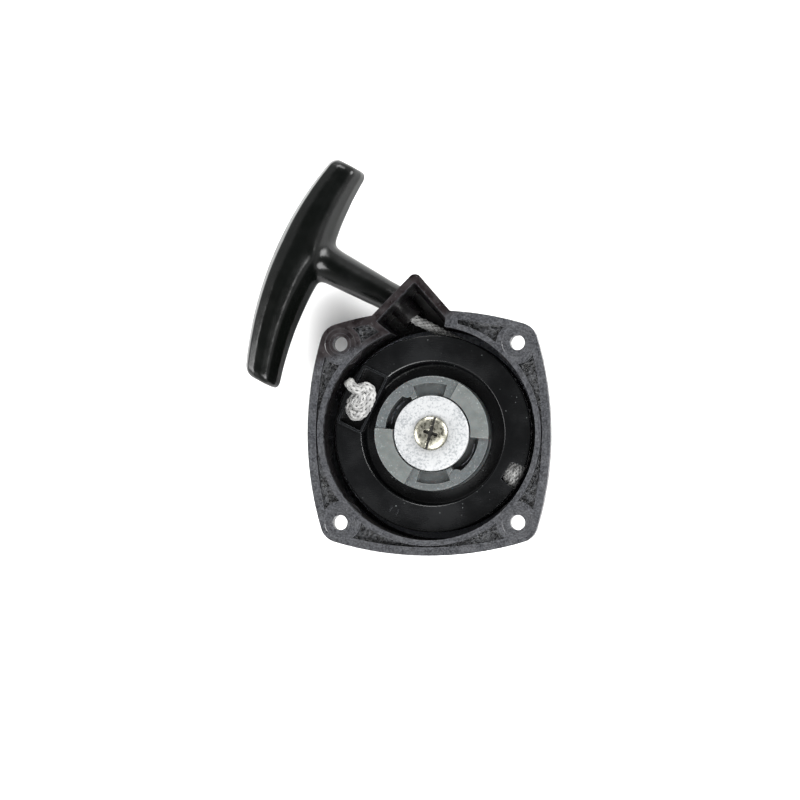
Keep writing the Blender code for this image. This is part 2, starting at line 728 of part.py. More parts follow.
def build_reel_knot(material):
    """The stopper knot with its stem down to the winding and its tail over the flange."""
    centre_radius = (KNOT_POCKET_INNER + KNOT_POCKET_OUTER) / 2
    half_width = (KNOT_POCKET_OUTER - KNOT_POCKET_INNER) / 2 - KNOT_POCKET_WALL - GAP
    bottom = KNOT_POCKET_FLOOR + GAP
    bm = bmesh.new()
    bmesh.ops.create_uvsphere(bm, u_segments=18, v_segments=10, radius=1.0)
    size = Matrix.Diagonal((half_width, KNOT_LENGTH / 2, KNOT_HEIGHT / 2, 1.0))
    place = Matrix.Translation(polar(centre_radius, KNOT_ANGLE, bottom + KNOT_HEIGHT / 2))
    bm.transform(place @ Matrix.Rotation(KNOT_ANGLE, 4, "Z") @ size)
    knot = finish_mesh("reel_knot", bm, material)
    stem_centre = polar(KNOT_STEM_DISTANCE, KNOT_ANGLE)
    stem = disc(
        "knot_stem",
        ROPE_RADIUS - GAP / 2,
        WINDING_TOP + GAP,
        bottom + KNOT_HEIGHT / 2,
        (stem_centre.x, stem_centre.y),
        16,
    )
    tail_height = REEL_TOP + KNOT_POCKET_RISE + GAP + ROPE_RADIUS
    tail_side = Matrix.Rotation(KNOT_ANGLE, 4, "Z")
    tail_points = [
        (centre_radius, -0.0035, tail_height - GAP),
        (centre_radius + 0.0030, -0.0052, tail_height),
        (REEL_RADIUS - 0.0006, -0.0066, tail_height),
    ]
    route = [tail_side @ Vector(point) for point in tail_points]
    tail = tube("knot_tail", smooth_route(route, 3), ROPE_RADIUS, sides=2)
    return knot, stem, tail


def mesh_copy(obj, name):
    """A mesh object with the evaluated shape of a curve."""
    graph = bpy.context.evaluated_depsgraph_get()
    mesh = bpy.data.meshes.new_from_object(obj.evaluated_get(graph))
    mesh.name = name
    bm = bmesh.new()
    bm.from_mesh(mesh)
    bmesh.ops.remove_doubles(bm, verts=bm.verts, dist=1e-6)
    bmesh.ops.recalc_face_normals(bm, faces=bm.faces)
    bm.to_mesh(mesh)
    bm.free()
    bpy.data.objects.remove(obj, do_unlink=True)
    return add_object(name, mesh)


# Rope to the handle


def tangent_point(distance):
    """A point on the line that the rope leaves the reel along."""
    point = ACROSS * (WINDING_OUTER - ROPE_RADIUS) + PULL * distance
    point.z = ROPE_HEIGHT
    return point


def build_rope_run(material):
    """The rope from the reel's rim through the bush to the collar's face."""
    mouth = GUIDE_CENTRE + WALL_NORMAL * (COLLAR_HEIGHT - BUSH_LENGTH)
    route = [
        tangent_point(0.006),
        tangent_point(0.014),
        tangent_point(0.021),
        mouth - WALL_NORMAL * 0.0004,
        GUIDE_CENTRE - WALL_NORMAL * 0.0045,
        GUIDE_CENTRE + WALL_NORMAL * (COLLAR_HEIGHT - GAP),
    ]
    run = mesh_copy(tube("rope_run_curve", smooth_route(route, 3), ROPE_RADIUS, sides=3), "rope_run")
    run.data.materials.append(material)
    clear_of_reel = disc(
        "rope_run_cutter",
        REEL_RADIUS + GAP,
        ROPE_HEIGHT - 2 * ROPE_RADIUS,
        ROPE_HEIGHT + 2 * ROPE_RADIUS,
    )
    cut(run, clear_of_reel)
    return run


def build_rope_lead(material, parent):
    tilt = PULL.cross(WALL_NORMAL).length
    start = GUIDE_CENTRE + WALL_NORMAL * (COLLAR_HEIGHT + GAP + ROPE_RADIUS * tilt)
    seat = HANDLE_ORIGIN + PULL * HANDLE_CAVITY_FLOOR
    along = (start - HANDLE_ORIGIN).dot(PULL)
    route = [start]
    for share in (0.18, 0.4, 0.7, 1.0):
        route.append(HANDLE_ORIGIN + PULL * (along + (HANDLE_CAVITY_FLOOR - along) * share))
    route[-1] = seat
    lead = tube("rope_lead", smooth_route(route, 3), ROPE_RADIUS, material, sides=2)
    attach(lead, parent)
    return lead


# Ratchet carrier, pawls and centre stack


def build_carrier(material):
    carrier = turned(
        "ratchet_carrier",
        [
            (HUB_BORE_RADIUS, CARRIER_BOTTOM),
            (CARRIER_RADIUS, CARRIER_BOTTOM),
            (CARRIER_RADIUS, CARRIER_TOP),
            (COUNTERBORE_RADIUS, CARRIER_TOP),
            (COUNTERBORE_RADIUS, CARRIER_FLOOR),
            (HUB_BORE_RADIUS, CARRIER_FLOOR),
        ],
        56,
        material,
    )
    pin_height = CARRIER_BOTTOM + GAP
    for side in range(2):
        turn = side * math.pi
        window = prism(
            f"carrier_window_{side}",
            sector(COUNTERBORE_RADIUS - OVERSHOOT, WINDOW_OUTER_RADIUS, WINDOW_SPAN[0] + turn, WINDOW_SPAN[1] + turn),
            WINDOW_FLOOR,
            CARRIER_TOP + OVERSHOOT,
        )
        pocket = prism(
            f"pawl_pocket_{side}",
            sector(
                COUNTERBORE_RADIUS - OVERSHOOT,
                CARRIER_RADIUS + OVERSHOOT,
                PAWL_PIVOT_ANGLE + turn,
                FLAT_SPAN[0] + turn,
                16,
            ),
            CARRIER_FLOOR,
            CARRIER_TOP + OVERSHOOT,
        )
        eye_centre = polar(PAWL_PIVOT_RADIUS, PAWL_PIVOT_ANGLE + turn)
        eye = disc(
            f"pawl_eye_pocket_{side}",
            PAWL_EYE_RADIUS + 1.5 * GAP,
            CARRIER_FLOOR,
            CARRIER_TOP + OVERSHOOT,
            (eye_centre.x, eye_centre.y),
            28,
        )
        pin_hole = disc(
            f"pawl_pin_hole_{side}",
            PAWL_PIN_RADIUS + GAP,
            pin_height,
            CARRIER_FLOOR + OVERSHOOT,
            (eye_centre.x, eye_centre.y),
            16,
        )
        cut(carrier, window, pocket, eye, pin_hole)
        flat_start = FLAT_SPAN[0] + FLAT_STEP + turn
        flat = prism(
            f"carrier_flat_{side}",
            sector(COUNTERBORE_RADIUS + GAP, CARRIER_RADIUS - GAP / 3, flat_start, FLAT_SPAN[1] + turn, 16),
            CARRIER_TOP - OVERSHOOT,
            CARRIER_FLAT_TOP,
        )
        peg_centre = carrier_peg_centres()[side]
        peg = disc(
            f"carrier_peg_{side}",
            CARRIER_PEG_RADIUS,
            WELL_FLOOR_TOP - WELL_FLOOR_THICKNESS + GAP,
            CARRIER_BOTTOM + OVERSHOOT,
            (peg_centre.x, peg_centre.y),
            20,
        )
        join(carrier, flat, peg)
    return carrier


def build_pawl(name, side, material, parent):
    """A curved arm from its pivot eye to the tip that swings out past the carrier."""
    turn = side * math.pi
    bottom = CARRIER_FLOOR + GAP
    outline = sector(PAWL_ARM_INNER, CARRIER_RADIUS - GAP / 2, PAWL_PIVOT_ANGLE + turn, PAWL_TIP_ANGLE + turn, 14)
    pawl = prism(name, outline, bottom, PAWL_TOP, material)
    centre = polar(PAWL_PIVOT_RADIUS, PAWL_PIVOT_ANGLE + turn)
    eye = disc(
        f"{name}_eye",
        PAWL_EYE_RADIUS,
        bottom + PAWL_EYE_STEP,
        PAWL_TOP - PAWL_EYE_STEP,
        (centre.x, centre.y),
        28,
    )
    hole = disc(
        f"{name}_hole",
        PAWL_PIN_RADIUS + GAP,
        bottom - OVERSHOOT,
        PAWL_TOP - PAWL_PIN_COVER,
        (centre.x, centre.y),
        16,
    )
    join(pawl, eye)
    cut(pawl, hole)
    attach(pawl, parent)
    return pawl


def build_pawl_pin(name, side, material):
    centre = polar(PAWL_PIVOT_RADIUS, PAWL_PIVOT_ANGLE + side * math.pi)
    bottom = CARRIER_BOTTOM + 2 * GAP
    top = PAWL_TOP - PAWL_PIN_COVER - GAP
    return disc(name, PAWL_PIN_RADIUS, bottom, top, (centre.x, centre.y), 16, material)


def build_pawl_spring(name, side, material):
    """A bent wire in the slot between the pawl's arm and the carrier's counterbore."""
    turn = side * math.pi
    height = (CARRIER_FLOOR + PAWL_TOP) / 2
    slot_radius = (COUNTERBORE_RADIUS + PAWL_ARM_INNER) / 2
    points = []
    for step in range(9):
        share = step / 8
        angle = PAWL_PIVOT_ANGLE + PAWL_SPRING_START + PAWL_SPRING_SWEEP * share + turn
        points.append(polar(slot_radius + PAWL_SPRING_BOW * math.sin(math.pi * share), angle, height))
    return tube(name, points, PAWL_SPRING_WIRE, material, sides=1)


def build_friction_spring(material):
    bottom = CARRIER_FLOOR + GAP + FRICTION_WIRE
    top = WASHER_BOTTOM - GAP - FRICTION_WIRE
    steps = 12 * FRICTION_TURNS
    points = []
    for step in range(steps + 1):
        share = step / steps
        angle = 2 * math.pi * FRICTION_TURNS * share
        points.append(polar(FRICTION_COIL_RADIUS, angle, bottom + (top - bottom) * share))
    return tube("friction_spring", points, FRICTION_WIRE, material, sides=1)


def build_washer(material):
    bore = SCREW_RADIUS + GAP
    profile = [
        (bore, WASHER_BOTTOM),
        (WASHER_RADIUS, WASHER_BOTTOM),
        (WASHER_RADIUS, WASHER_TOP - WASHER_EDGE),
        (WASHER_RADIUS - WASHER_EDGE, WASHER_TOP),
        (bore, WASHER_TOP),
    ]
    return turned("retaining_washer", profile, 48, material)


def build_screw(material):
    head_top = HEAD_BOTTOM + SCREW_HEAD_HEIGHT
    shank_bottom = HEAD_BOTTOM - SCREW_LENGTH
    profile = [
        (0.0, shank_bottom),
        (SCREW_RADIUS - SCREW_CHAMFER[0], shank_bottom),
        (SCREW_RADIUS, shank_bottom + SCREW_CHAMFER[1]),
        (SCREW_RADIUS, HEAD_BOTTOM),
        (SCREW_HEAD_RADIUS, HEAD_BOTTOM),
        (SCREW_HEAD_RADIUS, HEAD_BOTTOM + 0.5 * SCREW_HEAD_HEIGHT),
        (0.90 * SCREW_HEAD_RADIUS, HEAD_BOTTOM + 0.82 * SCREW_HEAD_HEIGHT),
        (0.67 * SCREW_HEAD_RADIUS, HEAD_BOTTOM + 0.97 * SCREW_HEAD_HEIGHT),
        (0.0, head_top),
    ]
    screw = turned("centre_screw", profile, 40, material)
    cutter_top = head_top + OVERSHOOT
    slot = radial_box(
        "screw_slot",
        -SCREW_SLOT_REACH,
        SCREW_SLOT_REACH,
        SCREW_SLOT_WIDTH,
        head_top - SCREW_SLOT_DEPTH,
        cutter_top,
        SCREW_SLOT_ANGLE,
    )
    cross = radial_box(
        "screw_cross",
        -SCREW_CROSS_REACH,
        SCREW_CROSS_REACH,
        SCREW_SLOT_WIDTH,
        head_top - SCREW_CROSS_DEPTH,
        cutter_top,
        SCREW_SLOT_ANGLE + math.pi / 2,
    )
    cut(screw, slot, cross)
    return screw


# Handle


def attach(obj, parent):
    """Parents an object made in world coordinates without moving it."""
    obj.parent = parent
    obj.matrix_parent_inverse = parent.matrix_world.inverted()


def bar_section(across):
    """Centre, half width and half depth of the bar at a distance across the pull."""
    reach = BAR_UPPER_REACH if across > 0 else BAR_LOWER_REACH
    share = min(abs(across) / reach, 1.0)
    face = BAR_FACE_DISTANCE - (across - BAR_CROWN_OFFSET) ** 2 / (2 * BAR_FACE_RADIUS)
    width = BAR_MIDDLE_WIDTH + (BAR_END_WIDTH - BAR_MIDDLE_WIDTH) * share**0.8
    depth = BAR_MIDDLE_DEPTH + (BAR_END_DEPTH - BAR_MIDDLE_DEPTH) * share**1.5
    return face - width / 2, width / 2, depth / 2


def build_bar(material):
    """The grip: rounded sections lofted across the pull, drawn in towards both ends."""
    points = 24
    middle_steps = 13
    ends = []
    for step in range(5):
        angle = math.pi / 2 * step / 5
        ends.append((BAR_END_ROUND * (1 - math.sin(angle)), BAR_END_ROUND * (1.0 - math.cos(angle))))
    stations = [(inset - BAR_LOWER_REACH, shrink) for inset, shrink in reversed(ends)]
    for step in range(1, middle_steps):
        reach = BAR_UPPER_REACH + BAR_LOWER_REACH - 2 * BAR_END_ROUND
        stations.append((BAR_END_ROUND - BAR_LOWER_REACH + reach * step / middle_steps, 0.0))
    stations += [(BAR_UPPER_REACH - inset, shrink) for inset, shrink in ends]
    bm = bmesh.new()
    rings = []
    for across, shrink in stations:
        centre, half_width, half_depth = bar_section(across)
        half_width -= shrink
        half_depth -= shrink
        ring = []
        for step in range(points):
            angle = 2 * math.pi * step / points
            cosine = math.cos(angle)
            sine = math.sin(angle)
            out = centre + half_width * math.copysign(abs(cosine) ** BAR_SQUARENESS, cosine)
            up = half_depth * math.copysign(abs(sine) ** BAR_SQUARENESS, sine)
            ring.append(bm.verts.new(HANDLE_ORIGIN + PULL * out + ACROSS * across + Vector((0, 0, up))))
        rings.append(ring)
    for low, high in zip(rings, rings[1:]):
        for step in range(points):
            after = (step + 1) % points
            bm.faces.new((low[step], low[after], high[after], high[step]))
    bm.faces.new(rings[0])
    bm.faces.new(rings[-1][::-1])
    return finish_mesh("handle", bm, material)


def along_pull(obj, distance=0.0):
    """Turns an object's own +Z to the pull and moves it out from the handle's origin."""
    turn = PULL.to_track_quat("Z", "Y").to_matrix().to_4x4()
    obj.matrix_world = Matrix.Translation(HANDLE_ORIGIN + PULL * distance) @ turn


def build_handle(material, parent):
    handle = build_bar(material)
    root = BAR_FACE_DISTANCE - BAR_MIDDLE_WIDTH
    neck = turned(
        "handle_neck",
        [
            (0.0, -NECK_RUN_ON),
            (NECK_RADIUS, -NECK_RUN_ON),
            (NECK_RADIUS, 0.0),
            (NECK_ROOT_RADIUS, root - 0.0035),
            (NECK_ROOT_RADIUS + 0.0009, root - 0.0012),
            (NECK_FILLET_RADIUS - 0.0010, root + 0.0008),
            (NECK_FILLET_RADIUS, root + 0.0028),
            (0.0, root + 0.0060),
        ],
        32,
    )
    along_pull(neck)
    # The neck's foot is cut parallel to the collar that it seats on.
    foot_block = disc("neck_foot_cutter", 0.03, -0.03, COLLAR_HEIGHT + GAP, points=24)
    along_wall_normal(foot_block, GUIDE_CENTRE)
    cut(neck, foot_block)
    bore = turned(
        "handle_bore",
        [
            (0.0, -NECK_RUN_ON - OVERSHOOT),
            (NECK_BORE_RADIUS, -NECK_RUN_ON - OVERSHOOT),
            (NECK_BORE_RADIUS, HANDLE_CAVITY_FLOOR),
            (HANDLE_CAVITY_RADIUS, HANDLE_CAVITY_FLOOR),
            (HANDLE_CAVITY_RADIUS, BAR_FACE_DISTANCE + OVERSHOOT),
            (0.0, BAR_FACE_DISTANCE + OVERSHOOT),
        ],
        28,
    )
    along_pull(bore)
    join(handle, neck)
    cut(handle, bore)
    attach(handle, parent)
    return handle


def build_handle_cap(material, parent):
    radius = HANDLE_CAVITY_RADIUS - GAP
    cap = turned(
        "handle_cap",
        [
            (0.0, HANDLE_CAP_FACE - HANDLE_CAP_THICKNESS),
            (radius, HANDLE_CAP_FACE - HANDLE_CAP_THICKNESS),
            (radius, HANDLE_CAP_FACE - HANDLE_CAP_EDGE),
            (radius - HANDLE_CAP_EDGE, HANDLE_CAP_FACE),
            (0.0, HANDLE_CAP_FACE),
        ],
        28,
        material,
    )
    along_pull(cap)
    attach(cap, parent)
    return cap


def build_handle_knot(material, parent):
    """The stopper knot between the cavity's floor and its cap."""
    bottom = HANDLE_CAVITY_FLOOR + GAP
    top = HANDLE_CAP_FACE - HANDLE_CAP_THICKNESS - GAP
    radius = HANDLE_CAVITY_RADIUS - 2 * GAP
    bm = bmesh.new()
    bmesh.ops.create_uvsphere(bm, u_segments=14, v_segments=8, radius=1.0)
    size = Matrix.Diagonal((radius, radius, (top - bottom) / 2, 1.0))
    bm.transform(Matrix.Translation((0.0, 0.0, (top + bottom) / 2)) @ size)
    knot = finish_mesh("handle_knot", bm, material)
    along_pull(knot)
    attach(knot, parent)
    return knot


def add_empty(name, location, parent=None):
    empty = add_object(name, None)
    empty.location = location
    bpy.context.view_layer.update()
    if parent:
        attach(empty, parent)
    return empty


def main():
    clear_scene()
    shell = make_material("black_nylon", (0.030, 0.029, 0.030), 0.55)
    reel_plastic = make_material("reel_nylon", (0.018, 0.018, 0.019), 0.35)
    grey_nylon = make_material("grey_nylon", (0.26, 0.28, 0.27), 0.45)
    pawl_nylon = make_material("pawl_nylon", (0.24, 0.26, 0.25), 0.45)
    zinc = make_material("zinc", (0.80, 0.81, 0.83), 0.30, 1.0)
    nickel = make_material("nickel", (0.50, 0.48, 0.40), 0.30, 1.0)
    spring_steel = make_material("spring_steel", (0.35, 0.36, 0.38), 0.35, 1.0)
    braid = make_material("rope_braid", (0.72, 0.73, 0.72), 0.85)
    grip = make_material("grip_rubber", (0.028, 0.029, 0.029), 0.40)
    bush_plastic = make_material("guide_bush", (0.11, 0.11, 0.11), 0.30)

    reel_axis = add_empty("reel_axis", (0.0, 0.0, REEL_TOP))
    handle_axis = add_empty("handle_axis", HANDLE_ORIGIN)

    build_housing(shell)
    build_bush(bush_plastic)
    build_rewind_spring(spring_steel)
    build_spring_cover(spring_steel)
    build_friction_spring(spring_steel)
    build_washer(zinc)
    build_screw(nickel)
    build_rope_run(braid)

    turning = [
        build_reel(reel_plastic),
        build_rope_winding(braid),
        build_carrier(grey_nylon),
    ]
    knot, stem, tail = build_reel_knot(braid)
    join(knot, stem, mesh_copy(tail, "knot_tail"))
    turning.append(knot)
    for side, letter in enumerate("ab"):
        pivot = polar(PAWL_PIVOT_RADIUS, PAWL_PIVOT_ANGLE + side * math.pi, CARRIER_FLOOR)
        pawl_axis = add_empty(f"pawl_{letter}_axis", pivot, reel_axis)
        build_pawl(f"pawl_{letter}", side, pawl_nylon, pawl_axis)
        turning.append(build_pawl_pin(f"pawl_pin_{letter}", side, spring_steel))
        turning.append(build_pawl_spring(f"pawl_spring_{letter}", side, spring_steel))
    for obj in turning:
        attach(obj, reel_axis)

    build_handle(grip, handle_axis)
    build_handle_cap(grip, handle_axis)
    build_handle_knot(braid, handle_axis)
    build_rope_lead(braid, handle_axis)


main()
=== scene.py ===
import json
from math import acos, asin, atan2, cos, pi, radians, sin, sqrt, tan

import bmesh
import bpy
from mathutils import Matrix, Vector


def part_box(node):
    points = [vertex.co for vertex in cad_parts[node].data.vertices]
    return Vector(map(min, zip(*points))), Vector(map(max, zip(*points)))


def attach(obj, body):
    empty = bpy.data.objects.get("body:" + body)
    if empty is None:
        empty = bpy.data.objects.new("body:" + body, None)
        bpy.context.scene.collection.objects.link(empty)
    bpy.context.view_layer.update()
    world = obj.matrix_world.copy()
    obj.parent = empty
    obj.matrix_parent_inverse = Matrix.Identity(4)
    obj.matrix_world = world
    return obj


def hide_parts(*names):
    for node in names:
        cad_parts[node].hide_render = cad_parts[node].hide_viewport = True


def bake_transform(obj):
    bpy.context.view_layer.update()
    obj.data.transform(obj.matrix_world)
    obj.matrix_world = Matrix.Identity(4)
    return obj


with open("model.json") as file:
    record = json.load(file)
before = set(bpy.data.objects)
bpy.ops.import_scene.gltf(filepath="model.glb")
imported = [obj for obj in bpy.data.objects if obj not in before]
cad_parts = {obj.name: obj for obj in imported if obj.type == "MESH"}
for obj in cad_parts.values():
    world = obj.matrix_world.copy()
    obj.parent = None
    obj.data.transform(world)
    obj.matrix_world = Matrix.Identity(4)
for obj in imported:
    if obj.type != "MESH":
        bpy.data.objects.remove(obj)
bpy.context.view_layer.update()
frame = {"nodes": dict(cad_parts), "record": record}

HOUSING = "housing_assembly"
REEL = "reel_assembly"
HANDLE = "handle_assembly"

# Places read from the frame, in metres
RIM_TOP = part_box("housing")[1][2]
REEL_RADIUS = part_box("reel")[1][0]
POCKET_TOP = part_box("reel")[1][2]
REEL_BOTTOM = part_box("spring_cover")[1][2] + 0.0003
CARRIER_LOW, CARRIER_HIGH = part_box("ratchet_carrier")
CARRIER_RADIUS = CARRIER_HIGH[0]
FLAT_TOP = CARRIER_HIGH[2]
WASHER_LOW, WASHER_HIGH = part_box("retaining_washer")
SCREW_LOW, SCREW_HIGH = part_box("centre_screw")
PAWL_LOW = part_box("pawl_a")[0]
WINDING_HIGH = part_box("rope_winding")[1]
JOINTS = {joint["name"]: joint for joint in frame["record"]["behaviour"]["joints"]}
PULL = Vector(JOINTS["handle_pull"]["axis"]).normalized()
ACROSS = Vector((PULL.y, -PULL.x, 0.0))
PAWL_PIVOT = Vector(JOINTS["pawl_a_swing"]["pos_m"])

# Sizes shared with the CAD model
GAP = 0.0003
CLEAR = 0.001  # how far a cutter reaches past what it cuts
BOLT_OFFSET = 0.031
LUG_SHARE = 0.98632  # the lugs stand a little inside the bolt holes
BOLT_HOLE_RADIUS = 0.0026
FLANGE_CORNER_RADIUS = 0.0070
FLANGE_HALF_WIDTH = 0.0425
FLANGE_THICKNESS = 0.0045
RIM_WALL = 0.0029
RIM_POCKET_DEPTH = 0.0030
BOWL_RADIUS = 0.0372
BOWL_WALL = 0.0019
BACK_THICKNESS = 0.0025
LUG_RADIUS = 0.0070
LUG_LENGTH = 0.0050
POST_RADIUS = 0.0060
POST_HEIGHT = 0.0249
CHAMBER_RADIUS = 0.0315
CHAMBER_TOP = 0.0089
ROPE_RADIUS = 0.0018
ROPE_HEIGHT = WINDING_HIGH[2] - ROPE_RADIUS
PULL_OFFSET = 0.03495
GUIDE_WALL_START = Vector((-0.0194, 0.0412))
TOWER_APEX = Vector((-0.0046, 0.0562))
TOWER_SIDE_END = Vector((0.0074, 0.0424))
TOWER_DRAFT = 0.0034  # how far the side wall leans in towards its foot
TOWER_WALL = 0.0025
TOWER_FLOOR_HEIGHT = 0.0080
COLLAR_RADIUS = 0.0073
COLLAR_HEIGHT = 0.0012
BUSH_LENGTH = 0.0105
REEL_TOP = POCKET_TOP - 0.0010
REEL_FLANGE = 0.0018
WELL_RADIUS = 0.0250
DRUM_RADIUS = 0.0270
WELL_FLOOR_TOP = 0.0162
HUB_RADIUS = 0.0090
KNOT_ANGLE = radians(154.0)
KNOT_POCKET = (0.0226, 0.0325, 0.0222)  # inner and outer reach, and length
KNOT_POCKET_WALL = 0.0008
KNOT_POCKET_FLOOR = 0.0206
COUNTERBORE_RADIUS = 0.0135
CARRIER_TOP = 0.0262
CARRIER_FLOOR = PAWL_LOW[2] - GAP
PAWL_EYE_RADIUS = 0.0025
PAWL_ARM_INNER = 0.0166
PIVOT_ANGLE = atan2(PAWL_PIVOT.y, PAWL_PIVOT.x)
NECK_RADIUS = 0.00525
BAR_UPPER_REACH = 0.0345
BAR_LOWER_REACH = 0.0476
BAR_FACE_DISTANCE = 0.0425
BAR_FACE_RADIUS = 0.1240
BAR_CROWN_OFFSET = 0.0050
BAR_WIDTHS = (0.0202, 0.0134)  # in the middle and at the ends
BAR_DEPTHS = (0.0210, 0.0150)
BAR_END_ROUND = 0.0030

FRONT = (TOWER_APEX - GUIDE_WALL_START).normalized()
WALL_NORMAL = Vector((-FRONT.y, FRONT.x, 0.0))


def guide_centre():
    foot = ACROSS * PULL_OFFSET
    distance = (GUIDE_WALL_START.to_3d() - foot).dot(WALL_NORMAL) / PULL.dot(WALL_NORMAL)
    centre = foot + PULL * distance
    centre.z = ROPE_HEIGHT
    return centre


GUIDE_CENTRE = guide_centre()
HANDLE_ORIGIN = GUIDE_CENTRE + PULL * 0.0044
KNOT_SEAT = 0.0285  # from the handle's origin, where the neck's bore widens for its knot


# Camera: square on to the bowl, leaning a little to the right and towards the lower edge

CAMERA_LENS = 150.0
CAMERA_SENSOR = 36.0
CAMERA_FIELD = 0.277  # metres across the picture
CAMERA_AIM = (-0.0099, 0.0114)
LEAN_RIGHT = radians(9.0)
LEAN_DOWN = radians(2.0)


def make_camera():
    data = bpy.data.cameras.new("camera")
    data.lens = CAMERA_LENS
    data.sensor_width = CAMERA_SENSOR
    data.clip_start = 0.05
    camera = bpy.data.objects.new("camera", data)
    bpy.context.scene.collection.objects.link(camera)
    bpy.context.scene.camera = camera
    aim = Vector((*CAMERA_AIM, RIM_TOP))
    back = Vector((sin(LEAN_RIGHT), -sin(LEAN_DOWN), 0.0))
    back.z = sqrt(1.0 - back.length_squared)
    distance = CAMERA_FIELD * CAMERA_LENS / CAMERA_SENSOR
    right = Vector((0.0, 1.0, 0.0)).cross(back).normalized()
    up = back.cross(right)
    turn = Matrix((right, up, back)).transposed().to_4x4()
    camera.matrix_world = Matrix.Translation(aim + back * distance) @ turn


make_camera()


# Material helpers


class Nodes:
    """A material's node tree with short calls for the nodes used here."""

    def __init__(self, name):
        self.material = bpy.data.materials.new(name)
        self.material.use_nodes = True
        self.tree = self.material.node_tree
        self.shader = self.tree.nodes["Principled BSDF"]
        self.coords = self.add("ShaderNodeTexCoord").outputs["Object"]

    def add(self, kind, inputs=None, **settings):
        """Adds a node. Each input is a socket to link or a constant, by the input's name or number."""
        node = self.tree.nodes.new(kind)
        for key, value in settings.items():
            setattr(node, key, value)
        for key, value in (inputs or {}).items():
            self.plug(node.inputs[key], value)
        return node

    def plug(self, socket, value):
        if isinstance(value, bpy.types.NodeSocket):
            self.tree.links.new(value, socket)
        else:
            socket.default_value = (*value, 1.0) if socket.type == "RGBA" else value

    def noise(self, scale, detail=3.0, roughness=0.55, coords=None):
        inputs = {"Vector": coords or self.coords, "Scale": scale, "Detail": detail, "Roughness": roughness}
        return self.add("ShaderNodeTexNoise", inputs).outputs["Fac"]

    def cells(self, scale, feature="F1"):
        inputs = {"Vector": self.coords, "Scale": scale}
        return self.add("ShaderNodeTexVoronoi", inputs, feature=feature).outputs["Distance"]

    def spread(self, value, low, high, to_low=0.0, to_high=1.0):
        inputs = {"Value": value, "From Min": low, "From Max": high, "To Min": to_low, "To Max": to_high}
        return self.add("ShaderNodeMapRange", inputs, interpolation_type="SMOOTHSTEP").outputs["Result"]

    def math(self, operation, a, b=0.0, c=0.0):
        return self.add("ShaderNodeMath", {0: a, 1: b, 2: c}, operation=operation).outputs[0]

    def times(self, a, b):
        return self.math("MULTIPLY", a, b)

    def plus(self, a, b):
        return self.math("ADD", a, b)

    def minus(self, a, b):
        return self.math("SUBTRACT", a, b)

    def squares(self, a, b):
        return self.plus(self.times(a, a), self.times(b, b))

    def tones(self, value, a, b, low=0.3, high=0.7):
        """Colour a where the value is low, and colour b where it is high."""
        return self.mix(self.spread(value, low, high), a, b)

    def mix(self, share, a, b):
        return self.add("ShaderNodeMix", {0: share, 6: a, 7: b}, data_type="RGBA").outputs[2]

    def split(self, coords=None):
        return self.add("ShaderNodeSeparateXYZ", {0: coords or self.coords}).outputs

    def bump(self, height, strength, distance, normal=None):
        inputs = {"Strength": strength, "Distance": distance, "Height": height}
        if normal:
            inputs["Normal"] = normal
        return self.add("ShaderNodeBump", inputs).outputs["Normal"]

    def finish(self, colour, roughness, normal=None, metallic=0.0, **constants):
        inputs = {"Base Color": colour, "Roughness": roughness, "Metallic": metallic}
        inputs |= {key.replace("_", " "): value for key, value in constants.items()}
        if normal:
            inputs["Normal"] = normal
        for key, value in inputs.items():
            self.plug(self.shader.inputs[key], value)
        return self.material


def dimmed(colour, share):
    return tuple(share * value for value in colour)


def edge_wear_and_highlight(nodes, radius=0.0004):
    """A 0 to 1 share that rises along edges, from how far a rounded normal leaves the real one. The materials
    lighten edges with it, partly as rubbed wear and partly as a painted highlight.
    """
    soft = nodes.add("ShaderNodeBevel", {"Radius": radius}, samples=4).outputs["Normal"]
    true = nodes.add("ShaderNodeNewGeometry").outputs["Normal"]
    product = nodes.add("ShaderNodeVectorMath", {0: soft, 1: true}, operation="DOT_PRODUCT")
    return nodes.spread(product.outputs["Value"], 0.80, 0.99, 1.0, 0.0)


